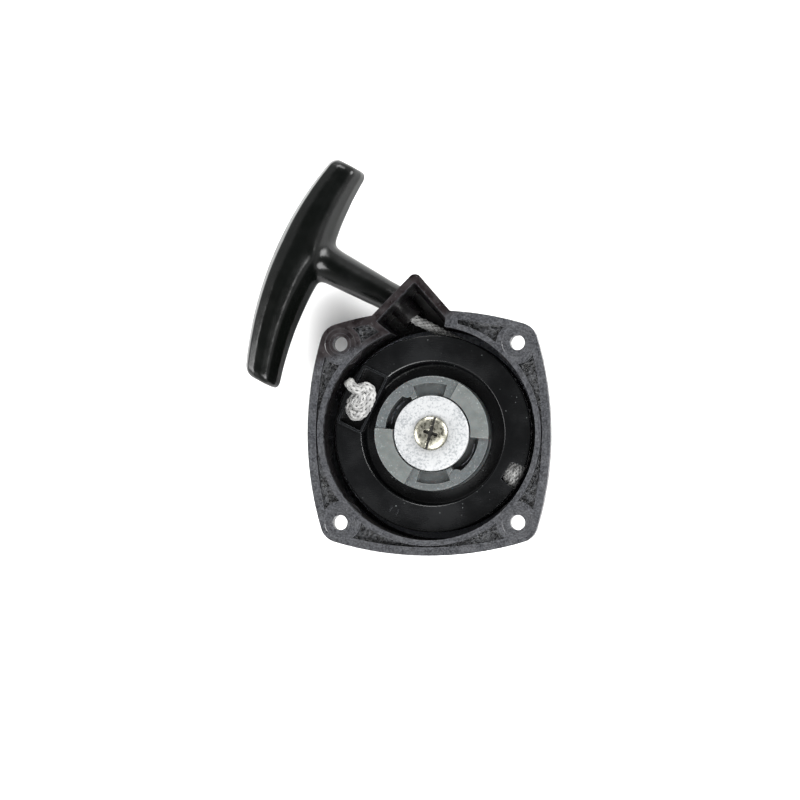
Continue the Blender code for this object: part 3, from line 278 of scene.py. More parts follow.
def housing_material():
    """Black nylon: a rim top grey from wear, leathery recess floors, walls and hollows painted near black as
    shade, a darker rope guide, and edges lightened as wear and as a painted highlight.
    """
    nodes = Nodes("black_nylon_grain")
    x, y, z = nodes.split()
    top_share = nodes.spread(z, RIM_TOP - 0.0009, RIM_TOP - 0.0003)
    floor_low = nodes.spread(z, RIM_TOP - RIM_POCKET_DEPTH - 0.0004, RIM_TOP - RIM_POCKET_DEPTH - 0.0002)
    floor_share = nodes.times(floor_low, nodes.minus(1.0, top_share))
    tower_share = nodes.spread(nodes.minus(y, nodes.times(x, 0.35)), 0.0362, 0.0405)
    leather = nodes.cells(900.0, "SMOOTH_F1")
    leather_height = nodes.plus(leather, nodes.times(nodes.noise(2300.0, 2.0), 0.6))
    fine = nodes.noise(1900.0, 3.0, 0.6)
    patches = nodes.noise(260.0, 4.0, 0.6)
    rough_floor = nodes.bump(nodes.times(leather_height, floor_share), 1.0, 0.0006)
    grain_share = nodes.spread(patches, 0.35, 0.65, 0.45, 1.0)
    normal = nodes.bump(nodes.times(fine, grain_share), 0.60, 0.00016, rough_floor)
    broad = nodes.noise(45.0, 2.0)
    # Painted shade: every surface below the rim top, apart from the pocket floors, is coloured near black,
    # for the walls, the bowl and the tower's hollow.
    shaded_walls = nodes.tones(broad, (0.0012, 0.0009, 0.0010), (0.0028, 0.0022, 0.0024), 0.35, 0.7)
    rim = nodes.tones(fine, (0.0110, 0.0114, 0.0128), (0.0400, 0.0414, 0.0455), 0.4, 0.6)
    tower = nodes.tones(patches, (0.0030, 0.0018, 0.0020), (0.0075, 0.0050, 0.0056))
    floor = nodes.tones(leather, (0.0032, 0.0034, 0.0038), (0.0440, 0.0460, 0.0500), 0.25, 0.6)
    base = nodes.mix(floor_share, shaded_walls, floor)
    base = nodes.mix(top_share, base, nodes.mix(tower_share, rim, tower))
    # Edges lightened, partly as rubbed wear and partly as a painted highlight.
    edge_worn_and_lit = nodes.mix(nodes.times(edge_wear_and_highlight(nodes), 0.7), base, (0.040, 0.041, 0.045))
    dust = nodes.spread(nodes.noise(1300.0, 2.0, 0.7), 0.64, 0.72)
    dust_share = nodes.times(dust, nodes.times(nodes.math("MAXIMUM", top_share, floor_share), 0.30))
    colour = nodes.mix(dust_share, edge_worn_and_lit, (0.15, 0.155, 0.165))
    roughness = nodes.spread(patches, 0.3, 0.7, 0.24, 0.42)
    return nodes.finish(colour, roughness, normal, Specular_IOR_Level=0.40)


def reel_material():
    """Glossy black nylon with moulding swirl, faint scratches and dust specks."""
    nodes = Nodes("reel_nylon_gloss")
    swirl = nodes.noise(60.0, 3.0)
    specks = nodes.spread(nodes.cells(620.0), 0.10, 0.16, 1.0, 0.0)
    sparse = nodes.spread(nodes.noise(180.0, 2.0), 0.55, 0.66)
    dust = nodes.times(specks, sparse)
    base = nodes.tones(swirl, (0.0016, 0.0018, 0.0020), (0.0038, 0.0041, 0.0046))
    # Edges lightened, partly as rubbed wear and partly as a painted highlight.
    edge_worn_and_lit = nodes.mix(nodes.times(edge_wear_and_highlight(nodes), 0.8), base, (0.035, 0.038, 0.042))
    colour = nodes.mix(nodes.times(dust, 0.7), edge_worn_and_lit, (0.12, 0.13, 0.13))
    stretch = {"Vector": nodes.coords, "Scale": (1.0, 9.0, 1.0), "Rotation": (0.0, 0.0, 0.6)}
    scratches = nodes.noise(380.0, 4.0, 0.7, nodes.add("ShaderNodeMapping", stretch).outputs["Vector"])
    fine = nodes.noise(1500.0, 3.0)
    normal = nodes.bump(scratches, 0.10, 0.00008, nodes.bump(fine, 0.22, 0.00005))
    roughness = nodes.spread(nodes.plus(swirl, nodes.times(scratches, 0.5)), 0.55, 0.95, 0.20, 0.31)
    return nodes.finish(colour, roughness, normal, Specular_IOR_Level=0.36)


def grey_nylon_material(name, raised, lowered):
    """Natural grey nylon: smooth raised flats, duller speckled surfaces below them, painted shade in the
    deeper windows and pockets, and painted glints towards the outer edge.
    """
    nodes = Nodes(name)
    x, y, z = nodes.split()
    raised_share = nodes.spread(z, CARRIER_TOP + 0.0003, CARRIER_TOP + 0.0005)
    # Painted shade: everything more than a millimetre below the carrier's top, such as the windows, pockets
    # and side walls, is darkened.
    painted_recess_shade = nodes.spread(z, CARRIER_TOP - 0.0010, CARRIER_TOP - 0.0004, 1.0, 0.0)
    mottled = nodes.noise(300.0, 4.0, 0.6)
    speckle = nodes.noise(1250.0, 3.0, 0.7)
    low = nodes.tones(speckle, dimmed(lowered, 0.72), lowered, 0.35, 0.65)
    low = nodes.mix(nodes.times(painted_recess_shade, 0.6), low, dimmed(lowered, 0.60))
    high = nodes.tones(mottled, dimmed(raised, 0.86), raised)
    colour = nodes.mix(raised_share, low, high)
    # Painted glints: bright specks of colour, more of them towards the outer edge.
    painted_glint = nodes.spread(nodes.noise(1900.0, 2.0, 0.7), 0.62, 0.70)
    glint_outer_share = nodes.spread(nodes.squares(x, y), 0.00022, 0.00040, 0.15, 0.8)
    colour = nodes.mix(nodes.times(painted_glint, glint_outer_share), colour, (0.26, 0.28, 0.28))
    # Edges lightened, partly as rubbed wear and partly as a painted highlight.
    lit_worn_edge_share = nodes.times(edge_wear_and_highlight(nodes), 0.45)
    colour = nodes.mix(lit_worn_edge_share, colour, (0.20, 0.21, 0.21))
    normal = nodes.bump(speckle, 0.45, 0.00008)
    roughness = nodes.spread(mottled, 0.3, 0.7, 0.32, 0.48)
    return nodes.finish(colour, roughness, normal, Subsurface_Weight=0.06, Subsurface_Scale=0.0005)


def zinc_material():
    """Bright zinc plate with a fine crystalline mottling and grey flecks."""
    nodes = Nodes("zinc_plate")
    flecks = nodes.noise(1150.0, 5.0, 0.75)
    broad = nodes.noise(170.0, 3.0)
    share = nodes.spread(nodes.plus(flecks, nodes.times(broad, 0.3)), 0.52, 0.70)
    colour = nodes.mix(share, (0.175, 0.184, 0.190), (0.330, 0.336, 0.340))
    normal = nodes.bump(flecks, 0.45, 0.00006)
    roughness = nodes.spread(flecks, 0.35, 0.65, 0.52, 0.36)
    return nodes.finish(colour, roughness, normal, 0.30)


def nickel_material():
    """Yellowish nickel plate with turned rings and small scratches."""
    nodes = Nodes("nickel_plate")
    x, y, _ = nodes.split()
    radius = nodes.math("SQRT", nodes.squares(x, y))
    rings = nodes.math("SINE", nodes.times(radius, 21000.0))
    mottled = nodes.noise(900.0, 4.0, 0.65)
    colour = nodes.tones(mottled, (0.21, 0.205, 0.165), (0.38, 0.37, 0.31))
    normal = nodes.bump(rings, 0.10, 0.00002, nodes.bump(mottled, 0.30, 0.00005))
    roughness = nodes.spread(mottled, 0.3, 0.7, 0.24, 0.42)
    return nodes.finish(colour, roughness, normal, 1.0)


def steel_material(name, dark, light):
    nodes = Nodes(name)
    mottled = nodes.noise(500.0, 4.0, 0.6)
    colour = nodes.tones(mottled, dark, light)
    normal = nodes.bump(nodes.noise(2200.0, 2.0), 0.2, 0.00003)
    return nodes.finish(colour, nodes.spread(mottled, 0.3, 0.7, 0.25, 0.42), normal, 1.0)


def yarn_material(name, light, dark):
    """Bright synthetic yarn: fine filaments, soft sheen and a little grime."""
    nodes = Nodes(name)
    fibres = nodes.noise(4200.0, 2.0, 0.6)
    grime = nodes.noise(420.0, 3.0)
    share = nodes.spread(nodes.plus(nodes.times(fibres, 0.45), grime), 0.50, 0.92)
    colour = nodes.mix(share, dark, light)
    normal = nodes.bump(fibres, 0.6, 0.00008)
    return nodes.finish(colour, 0.55, normal, Sheen_Weight=0.3, Sheen_Roughness=0.5)


PATTERN_YARNS = 8.0  # in each direction
PATTERN_PITCH = 0.015


def braid_pattern_material():
    """The braid as a pattern round the pull's axis, with painted shade between the yarns, for the stretch of
    rope that is paid out.
    """
    nodes = Nodes("rope_braid_long")
    turn = (0.0, 0.0, atan2(PULL.y, PULL.x))
    place = {"Vector": nodes.coords, "Location": HANDLE_ORIGIN, "Rotation": turn}
    placed = nodes.add("ShaderNodeMapping", place, vector_type="TEXTURE")
    along, side, up = nodes.split(placed.outputs["Vector"])
    turn = nodes.times(nodes.math("ARCTAN2", up, side), PATTERN_YARNS)
    advance = nodes.times(along, 2.0 * pi * PATTERN_YARNS / PATTERN_PITCH)
    left, right = [
        nodes.math("ABSOLUTE", nodes.math("SINE", nodes.times(phase, 0.5)))
        for phase in (nodes.plus(turn, advance), nodes.minus(turn, advance))
    ]
    over = nodes.spread(nodes.math("SINE", advance), -0.25, 0.25)
    height = nodes.plus(nodes.times(left, over), nodes.times(right, nodes.minus(1.0, over)))
    fibres = nodes.noise(4200.0, 2.0, 0.6)
    # Painted shade: the weave's low places are coloured dark, as the shade between the yarns.
    weave_painted_shade = nodes.plus(height, nodes.times(fibres, 0.15))
    colour = nodes.tones(weave_painted_shade, (0.02, 0.02, 0.02), (0.15, 0.15, 0.148), 0.10, 0.75)
    return nodes.finish(colour, 0.6, nodes.bump(height, 0.9, 0.0004), Sheen_Weight=0.3)


def grip_material():
    """Semi-gloss black grip with a soft orange-peel and handling marks."""
    nodes = Nodes("grip_moulding")
    broad = nodes.noise(55.0, 3.0)
    peel = nodes.noise(900.0, 3.0, 0.5)
    base = nodes.tones(broad, (0.0008, 0.0011, 0.0009), (0.0016, 0.0020, 0.0018))
    marks = nodes.spread(nodes.noise(240.0, 5.0, 0.75), 0.60, 0.75)
    colour = nodes.mix(nodes.times(marks, 0.25), base, (0.012, 0.013, 0.013))
    normal = nodes.bump(peel, 0.28, 0.00008)
    roughness = nodes.spread(nodes.noise(160.0, 4.0, 0.6), 0.3, 0.7, 0.18, 0.26)
    return nodes.finish(colour, roughness, normal, Specular_IOR_Level=0.24)


def slot_shade_material():
    """Painted shade down in the screw's slot and cross, as a dark speckled colour."""
    nodes = Nodes("slot_painted_shade")
    speckle = nodes.noise(1500.0, 3.0, 0.7)
    colour = nodes.tones(speckle, (0.0060, 0.0055, 0.0045), (0.0300, 0.0280, 0.0220), 0.35, 0.65)
    return nodes.finish(colour, 0.7, nodes.bump(speckle, 0.6, 0.0001))


def bush_material():
    nodes = Nodes("bush_plastic_smoky")
    cloudy = nodes.noise(260.0, 3.0)
    colour = nodes.tones(cloudy, (0.0016, 0.0014, 0.0015), (0.0040, 0.0036, 0.0038))
    normal = nodes.bump(nodes.noise(1400.0, 2.0), 0.2, 0.00005)
    return nodes.finish(colour, nodes.spread(cloudy, 0.3, 0.7, 0.18, 0.32), normal, Specular_IOR_Level=0.6)


def floor_material():
    nodes = Nodes("studio_floor")
    colour = nodes.mix(nodes.noise(6.0, 2.0), (0.93, 0.93, 0.925), (0.95, 0.95, 0.95))
    return nodes.finish(colour, 0.85, None, Specular_IOR_Level=0.1)


SHELL = housing_material()
REEL_BLACK = reel_material()
RING_GREY = grey_nylon_material("grey_nylon_ring", (0.070, 0.077, 0.075), (0.052, 0.058, 0.059))
PAWL_GREY = grey_nylon_material("grey_nylon_pawl", (0.066, 0.073, 0.072), (0.050, 0.056, 0.058))
ZINC = zinc_material()
NICKEL = nickel_material()
SPRING_STEEL = steel_material("spring_steel_blued", (0.10, 0.11, 0.13), (0.24, 0.25, 0.27))
YARN_WHITE = yarn_material("rope_yarn_white", (0.290, 0.290, 0.285), (0.145, 0.145, 0.142))
YARN_GREY = yarn_material("rope_yarn_grey", (0.225, 0.225, 0.225), (0.110, 0.110, 0.110))
# The core is coloured near black as painted shade, seen in the gaps between the yarns.
ROPE_CORE_SHADE = yarn_material("rope_core_shadow", (0.022, 0.022, 0.023), (0.010, 0.010, 0.011))
ROPE_FUSED = yarn_material("rope_fused_end", (0.24, 0.24, 0.23), (0.18, 0.18, 0.17))
BRAID_LONG = braid_pattern_material()
GRIP = grip_material()
BUSH = bush_material()
SLOT_SHADE = slot_shade_material()


# Mesh helpers


def add_object(name, data, *materials):
    obj = bpy.data.objects.new(name, data)
    bpy.context.scene.collection.objects.link(obj)
    for material in materials:
        data.materials.append(material)
    return obj


def finish_mesh(name, bm, *materials, angle=35.0):
    bmesh.ops.recalc_face_normals(bm, faces=bm.faces)
    mesh = bpy.data.meshes.new(name)
    bm.to_mesh(mesh)
    bm.free()
    mesh.shade_smooth()
    mesh.set_sharp_from_angle(angle=radians(angle))
    return add_object(name, mesh, *materials)


def skin(bm, rings):
    """Joins each closed ring of points to the next with quads."""
    faces = []
    for low, high in zip(rings, rings[1:]):
        for step, point in enumerate(low):
            after = (step + 1) % len(low)
            faces.append(bm.faces.new((point, low[after], high[after], high[step])))
    return faces


def prism(name, outline, bottom, top, *materials):
    return loft(name, outline, outline, bottom, top, *materials)


def loft(name, low_outline, high_outline, bottom, top, *materials):
    """A closed block between two outlines with the same number of points."""
    bm = bmesh.new()
    low = [bm.verts.new((x, y, bottom)) for x, y in low_outline]
    high = [bm.verts.new((x, y, top)) for x, y in high_outline]
    bm.faces.new(low[::-1])
    bm.faces.new(high)
    skin(bm, [low, high])
    if low_outline != high_outline:
        bmesh.ops.triangulate(bm, faces=bm.faces)
    return finish_mesh(name, bm, *materials)


def turned(name, profile, points=160, *materials):
    """A solid turned about +Z from a closed profile of (radius, height) points."""
    bm = bmesh.new()
    rings = []
    for radius, height in profile:
        if radius == 0.0:
            rings.append([bm.verts.new((0.0, 0.0, height))] * points)
            continue
        turn = [2 * pi * step / points for step in range(points)]
        rings.append([bm.verts.new((radius * cos(a), radius * sin(a), height)) for a in turn])
    for low, high in zip(rings, rings[1:] + rings[:1]):
        for step in range(points):
            after = (step + 1) % points
            unique = list(dict.fromkeys([low[step], low[after], high[after], high[step]]))
            if len(unique) > 2:
                bm.faces.new(unique)
    return finish_mesh(name, bm, *materials)


def arc(radius, start, end, points, centre=(0.0, 0.0)):
    outline = []
    for step in range(points):
        angle = start + (end - start) * step / (points - 1)
        outline.append((centre[0] + radius * cos(angle), centre[1] + radius * sin(angle)))
    return outline


def disc(name, radius, bottom, top, centre=(0.0, 0.0), points=160):
    outline = arc(radius, 0.0, 2 * pi * (points - 1) / points, points, centre)
    return prism(name, outline, bottom, top)


def discs(name, radius, bottom, top, centres, points):
    places = enumerate(centres)
    return [disc(f"{name}_{index}", radius, bottom, top, centre, points) for index, centre in places]


def sector(inner, outer, start, end, points=40):
    return arc(outer, start, end, points) + arc(inner, end, start, points)


def rounded(corners, radius, steps=5):
    """The closed outline with each corner replaced by an arc. A radius may be given per corner."""
    radii = radius if isinstance(radius, (list, tuple)) else [radius] * len(corners)
    outline = []
    count = len(corners)
    for index, corner in enumerate(corners):
        here = Vector(corner)
        back = Vector(corners[index - 1]) - here
        ahead = Vector(corners[(index + 1) % count]) - here
        if radii[index] <= 0.0 or back.length < 1e-7 or ahead.length < 1e-7:
            outline.append((here.x, here.y))
            continue
        half = back.angle(ahead) / 2
        reach = min(radii[index] / tan(half), 0.48 * back.length, 0.48 * ahead.length)
        size = reach * tan(half)
        middle = here + (back.normalized() + ahead.normalized()).normalized() * size / sin(half)
        first = here + back.normalized() * reach - middle
        last = here + ahead.normalized() * reach - middle
        sweep = first.angle_signed(last)
        for step in range(steps + 1):
            point = middle + Matrix.Rotation(-sweep * step / steps, 2) @ first
            outline.append((point.x, point.y))
    return outline


def rounded_profile(rows, steps=5):
    """The profile given by rows of radius, height and corner radius."""
    return rounded([row[:2] for row in rows], [row[2] for row in rows], steps)


def turn_outline(outline, angle):
    turn = Matrix.Rotation(angle, 2)
    return [tuple(turn @ Vector(point)) for point in outline]


def box_outline(inner, outer, width):
    return [(inner, -width / 2), (outer, -width / 2), (outer, width / 2), (inner, width / 2)]


def combine(target, others, operation):
    for other in others:
        modifier = target.modifiers.new(other.name, "BOOLEAN")
        modifier.operation = operation
        modifier.object = other
        modifier.solver = "EXACT"


def apply_modifiers(obj):
    graph = bpy.context.evaluated_depsgraph_get()
    obj.data = bpy.data.meshes.new_from_object(obj.evaluated_get(graph))
    obj.modifiers.clear()


def settle(obj, *helpers, angle=35.0):
    """Applies an object's modifiers, then removes the helpers that they used."""
    apply_modifiers(obj)
    obj.data.shade_smooth()
    obj.data.set_sharp_from_angle(angle=radians(angle))
    for helper in helpers:
        bpy.data.objects.remove(helper, do_unlink=True)


def soften(obj, width, segments=2, angle=38.0):
    """Rounds every sharp edge a little, as moulded and turned edges are."""
    weld = obj.modifiers.new("weld", "WELD")
    weld.merge_threshold = 0.00002
    bevel = obj.modifiers.new("bevel", "BEVEL")
    bevel.limit_method = "ANGLE"
    bevel.angle_limit = radians(angle)
    bevel.width = width
    bevel.segments = segments
    bevel.use_clamp_overlap = True
    bevel.miter_outer = "MITER_ARC"
    settle(obj, angle=50.0)
    even = obj.modifiers.new("even_shading", "WEIGHTED_NORMAL")
    even.keep_sharp = True
    apply_modifiers(obj)


def stand(obj, foot, direction):
    """Puts an object's origin at a point, with its Z along a direction."""
    obj.matrix_world = Matrix.Translation(foot) @ direction.to_track_quat("Z", "Y").to_matrix().to_4x4()


def bake_place(obj):
    obj.data.transform(obj.matrix_world)
    obj.matrix_world = Matrix.Identity(4)


def polar(radius, angle, height=0.0):
    return Vector((radius * cos(angle), radius * sin(angle), height))


# Housing


def flange_outline(inset=0.0):
    corner = FLANGE_CORNER_RADIUS - inset
    half = FLANGE_HALF_WIDTH - inset
    rise = half - BOLT_OFFSET - corner
    side_radius = (BOLT_OFFSET**2 + (half - BOLT_OFFSET) ** 2 - corner**2) / (2 * rise)
    lean = asin(BOLT_OFFSET / (side_radius - corner))
    outline = []
    for quarter in range(4):
        side = arc(side_radius, -lean, lean, 33, (half - side_radius, 0.0))
        round_corner = arc(corner, lean, pi / 2 - lean, 15, (BOLT_OFFSET, BOLT_OFFSET))
        outline += turn_outline(side + round_corner[1:-1], quarter * pi / 2)
    return outline


def bolt_centres():
    return [(x, y) for x in (-BOLT_OFFSET, BOLT_OFFSET) for y in (-BOLT_OFFSET, BOLT_OFFSET)]


def lug_centres():
    return [(LUG_SHARE * x, LUG_SHARE * y) for x, y in bolt_centres()]


def tower_outline(inset, root, lean=0.0):
    """The rope guide's plan: front wall, rounded apex and side wall, closed inside the bowl."""
    start = GUIDE_WALL_START
    side = (TOWER_SIDE_END - TOWER_APEX).normalized()
    apex = TOWER_APEX - FRONT * lean
    end = TOWER_SIDE_END - FRONT * lean
    front_in = Vector((FRONT.y, -FRONT.x))
    side_in = Vector((side.y, -side.x))
    radius = 0.0024 - inset * 0.6
    offset = inset + radius
    reach = offset * tan(acos(FRONT.dot(side)) / 2)
    centre = apex + front_in * offset - FRONT * reach
    first = atan2(-front_in.y, -front_in.x)
    last = atan2(-side_in.y, -side_in.x)
    inner_end = end + side_in * inset + side * root
    inner_start = start + front_in * inset - FRONT * root
    mouth_line = BOWL_RADIUS - 0.0062
    mouth = [(inner_end.x - 0.001, mouth_line), (0.5 * inner_start.x, mouth_line)]
    return [tuple(inner_start), *arc(radius, first, last, 13, centre), tuple(inner_end), *mouth]


SCREW_HOLE_RADIUS = 0.0033
SCREW_HOLE_BOTTOM = 0.0091
BUSH_HOLE = ((0.0, -0.0035), (0.0047, -0.0035), (0.0047, 0.0), (0.0061, 0.0), (0.0061, 0.0022), (0.0, 0.0022))
# Radius, and height over the rim
LUG_DISH = ((0.0036, 0.0006), (0.0038, -0.0003), (0.0052, -0.0003), (0.0060, 0.0006))
TOWER_PLANS = (0.004, 0.001)  # how far the guide and its hollow run into the bowl


def build_housing():
    flange_bottom = RIM_TOP - FLANGE_THICKNESS
    lug_bottom = RIM_TOP - LUG_LENGTH
    floor = RIM_TOP - RIM_POCKET_DEPTH
    outer = BOWL_RADIUS + BOWL_WALL
    wall_middle = BOWL_RADIUS + BOWL_WALL / 2
    root, hollow_root = TOWER_PLANS
    housing = prism("housing_shell", flange_outline(), flange_bottom, RIM_TOP, SHELL)
    rows = [
        (0.0, 0.0, 0.0),
        (outer - 0.0040, 0.0, 0.0030),
        (outer, 0.0040, 0.0030),
        (outer, flange_bottom + CLEAR, 0.0),
        (0.0, flange_bottom + CLEAR, 0.0),
    ]
    cup = turned("cup", rounded_profile(rows, 6))
    plans = (tower_outline(0.0, root, TOWER_DRAFT), tower_outline(0.0, root))
    tower = loft("tower", *plans, TOWER_FLOOR_HEIGHT, RIM_TOP)
    bowl = disc("bowl", BOWL_RADIUS, BACK_THICKNESS, RIM_TOP + CLEAR)
    combine(housing, [cup, tower], "UNION")
    combine(housing, [bowl], "DIFFERENCE")
    lugs = discs("lug", LUG_RADIUS, lug_bottom, flange_bottom + 0.0007, lug_centres(), 64)
    holes = discs("hole", BOLT_HOLE_RADIUS, lug_bottom - CLEAR, RIM_TOP + CLEAR, bolt_centres(), 48)
    low = BACK_THICKNESS - CLEAR
    inner = CHAMBER_RADIUS
    walls = [(inner, low), (wall_middle, low), (wall_middle, CHAMBER_TOP), (inner, CHAMBER_TOP)]
    ledge = turned("ledge", walls)
    post = disc("post", POST_RADIUS, low, POST_HEIGHT, points=64)
    collar = disc("collar", COLLAR_RADIUS, -TOWER_WALL / 2, COLLAR_HEIGHT, points=64)
    stand(collar, GUIDE_CENTRE, WALL_NORMAL)
    combine(housing, [*lugs, ledge, post, collar], "UNION")
    recess = prism("recess", flange_outline(RIM_WALL), floor, RIM_TOP + CLEAR)
    span = (floor - CLEAR, RIM_TOP + 2 * CLEAR)
    keep = [
        disc("recess_bowl", outer, *span),
        *discs("recess_lug", LUG_RADIUS, *span, lug_centres(), 64),
        prism("recess_tower", tower_outline(-0.0004, root), *span),
    ]
    combine(recess, keep, "DIFFERENCE")
    plans = (tower_outline(TOWER_WALL, hollow_root, TOWER_DRAFT), tower_outline(TOWER_WALL, hollow_root))
    inside = loft("tower_inside", *plans, TOWER_FLOOR_HEIGHT + TOWER_WALL, RIM_TOP + CLEAR)
    screw_hole = disc("screw_hole", SCREW_HOLE_RADIUS, SCREW_HOLE_BOTTOM, POST_HEIGHT + CLEAR, points=40)
    bush_hole = turned("bush_hole", BUSH_HOLE, 48)
    stand(bush_hole, GUIDE_CENTRE, WALL_NORMAL)
    rings = []
    for index, centre in enumerate(bolt_centres()):
        ring = turned(f"lug_dish_{index}", [(radius, RIM_TOP + height) for radius, height in LUG_DISH], 64)
        ring.location = (*centre, 0.0)
        rings.append(ring)
    cutters = [recess, inside, screw_hole, bush_hole, *holes, *rings]
    combine(housing, cutters, "DIFFERENCE")
    settle(housing, cup, tower, bowl, *lugs, ledge, post, collar, *keep, *cutters)
    soften(housing, 0.00028)
    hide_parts("housing")
    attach(housing, HOUSING)


BUSH_BORE_RADIUS = 0.0029
BUSH_BODY_RADIUS = 0.0044
BUSH_FLANGE_RADIUS = 0.0058
BUSH_FLANGE = 0.0009
BUSH_FUNNEL = 0.0014


def build_bush():
    inner = COLLAR_HEIGHT - BUSH_LENGTH
    flange = COLLAR_HEIGHT - BUSH_FLANGE
    rows = [
        (0.0034, inner, 0.0004),
        (BUSH_BODY_RADIUS, inner, 0.0003),
        (BUSH_BODY_RADIUS, flange, 0.0),
        (BUSH_FLANGE_RADIUS, flange, 0.0002),
        (BUSH_FLANGE_RADIUS, COLLAR_HEIGHT, 0.0003),
        (0.0036, COLLAR_HEIGHT, 0.0005),
        (BUSH_BORE_RADIUS, COLLAR_HEIGHT - BUSH_FUNNEL, 0.0010),
        (BUSH_BORE_RADIUS, inner + BUSH_FUNNEL, 0.0010),
    ]
    bush = turned("guide_bush", rounded_profile(rows), 72, BUSH)
    stand(bush, GUIDE_CENTRE, WALL_NORMAL)
    bake_place(bush)
    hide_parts("rope_guide_bush")
    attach(bush, HOUSING)


# Reel


REEL_FOOT = REEL_BOTTOM + 0.0014
NOTCH_ANGLE = radians(-27.0)
NOTCH_CORNERS = [(0.0284, -0.0034), (0.0360, -0.0048), (0.0360, 0.0044), (0.0290, 0.0036)]
TICK_ANGLE = radians(243.0)
TICK_REACH = (0.0290, 0.0313)
TICK_WIDTH = 0.0006
TICK_OFFSET = 0.0013


def build_reel():
    underside = WELL_FLOOR_TOP - 0.0020
    hub_bottom = BACK_THICKNESS + 2 * GAP
    bore = POST_RADIUS + GAP
    corners = [
        (bore, WELL_FLOOR_TOP, 0.0),
        (WELL_RADIUS, WELL_FLOOR_TOP, 0.0012),
        (WELL_RADIUS, REEL_TOP, 0.0007),
        (REEL_RADIUS, REEL_TOP, 0.0005),
        (REEL_RADIUS, REEL_TOP - REEL_FLANGE, 0.0003),
        (DRUM_RADIUS, REEL_TOP - REEL_FLANGE, 0.0008),
        (DRUM_RADIUS, REEL_FOOT, 0.0008),
        (REEL_RADIUS, REEL_FOOT, 0.0003),
        (REEL_RADIUS, REEL_BOTTOM, 0.0003),
        (WELL_RADIUS, REEL_BOTTOM, 0.0003),
        (WELL_RADIUS, underside, 0.0008),
        (HUB_RADIUS, underside, 0.0008),
        (HUB_RADIUS, hub_bottom, 0.0003),
        (bore, hub_bottom, 0.0003),
    ]
    reel = turned("reel_body", rounded_profile(corners), 192, REEL_BLACK)
    inner, outer, length = KNOT_POCKET
    wall = KNOT_POCKET_WALL
    shell = rounded(box_outline(inner, outer, length), 0.0014, 8)
    hollow = rounded(box_outline(inner + wall, outer - wall, length - 2 * wall), 0.0008, 8)
    pocket_box = prism("pocket_box", turn_outline(shell, KNOT_ANGLE), KNOT_POCKET_FLOOR - wall, POCKET_TOP)
    pocket = prism("pocket", turn_outline(hollow, KNOT_ANGLE), KNOT_POCKET_FLOOR, POCKET_TOP + CLEAR)
    notch_outline = turn_outline(rounded(NOTCH_CORNERS, 0.0009, 6), NOTCH_ANGLE)
    notch = prism("notch", notch_outline, REEL_TOP - REEL_FLANGE - CLEAR, REEL_TOP + CLEAR)
    combine(reel, [pocket_box], "UNION")
    combine(reel, [pocket, notch], "DIFFERENCE")
    settle(reel, pocket_box, pocket, notch)
    soften(reel, 0.00022, 2, 55.0)
    for side in (-1, 1):
        outline = [(x, y + side * TICK_OFFSET) for x, y in box_outline(*TICK_REACH, TICK_WIDTH)]
        outline = turn_outline(rounded(outline, 0.0002, 3), TICK_ANGLE)
        tick = prism("moulded_tick", outline, REEL_TOP - 0.0001, REEL_TOP + 0.00018, REEL_BLACK)
        soften(tick, 0.00006, 1, 40.0)
        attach(tick, REEL)
    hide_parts("reel")
    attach(reel, REEL)


# Braided rope


def resample(points, spacing):
    """Evenly spaced points along a smooth curve through the given ones."""
    dense = []
    last = len(points) - 1
    for index in range(last):
        before = points[max(index - 1, 0)]
        start = points[index]
        end = points[index + 1]
        after = points[min(index + 2, last)]
        for step in range(24):
            t = step / 24
            dense.append(
                0.5
                * (
                    2 * start
                    + (end - before) * t
                    + (2 * before - 5 * start + 4 * end - after) * t * t
                    + (3 * start - before - 3 * end + after) * t * t * t
                )
            )
    dense.append(points[last].copy())
    route = [dense[0]]
    carried = 0.0
    for low, high in zip(dense, dense[1:]):
        stretch = (high - low).length
        while stretch > 0.0 and carried + stretch >= spacing:
            low = low + (high - low) * ((spacing - carried) / stretch)
            route.append(low)
            stretch = (high - low).length
            carried = 0.0
        carried += stretch
    return route


def direction_at(points, index):
    """The direction of a route at one of its points."""
    return (points[min(index + 1, len(points) - 1)] - points[max(index - 1, 0)]).normalized()


def path_frames(route):
    """A normal and a binormal at each point, carried along the route without twisting."""
    tangents = [direction_at(route, index) for index in range(len(route))]
    normal = Vector((0.0, 0.0, 1.0))
    if abs(tangents[0].z) > 0.9:
        normal = Vector((1.0, 0.0, 0.0))
    frames = []
    for tangent in tangents:
        normal = (normal - tangent * normal.dot(tangent)).normalized()
        frames.append((tangent, normal, tangent.cross(normal)))
    return frames


def sweep(bm, centres, sections, material_index):
    """Skins a closed rod over rings of section points round each centre."""
    rings = [[bm.verts.new(centre + offset) for offset in ring] for centre, ring in zip(centres, sections)]
    faces = [bm.faces.new(rings[0][::-1]), bm.faces.new(rings[-1]), *skin(bm, rings)]
    for face in faces:
        face.material_index = material_index
        face.smooth = True


def round_sections(frames, radius, sides):
    turns = [2 * pi * step / sides for step in range(sides)]
    return [[(out * cos(a) + side * sin(a)) * radius for a in turns] for _, out, side in frames]


BRAID_YARNS = 6  # in each direction
BRAID_PITCH = 0.0135
YARN_HALF_WIDTH = 0.00048
YARN_HALF_THICKNESS = 0.00030
YARN_WEAVE = 0.00020  # how far a yarn rises and sinks
CORE_SHARE = 0.60
TOP_TURN_START = radians(-286.0)
PROUD_TURNS = ((0.0300, 0.0210), (0.0326, 0.0217))  # radius and crest height
PROUD_DEGREES = range(-37, -16, 2)
KNOT_PITCH = 0.021
KNOT_RADIUS = 0.0278  # from the reel's axis


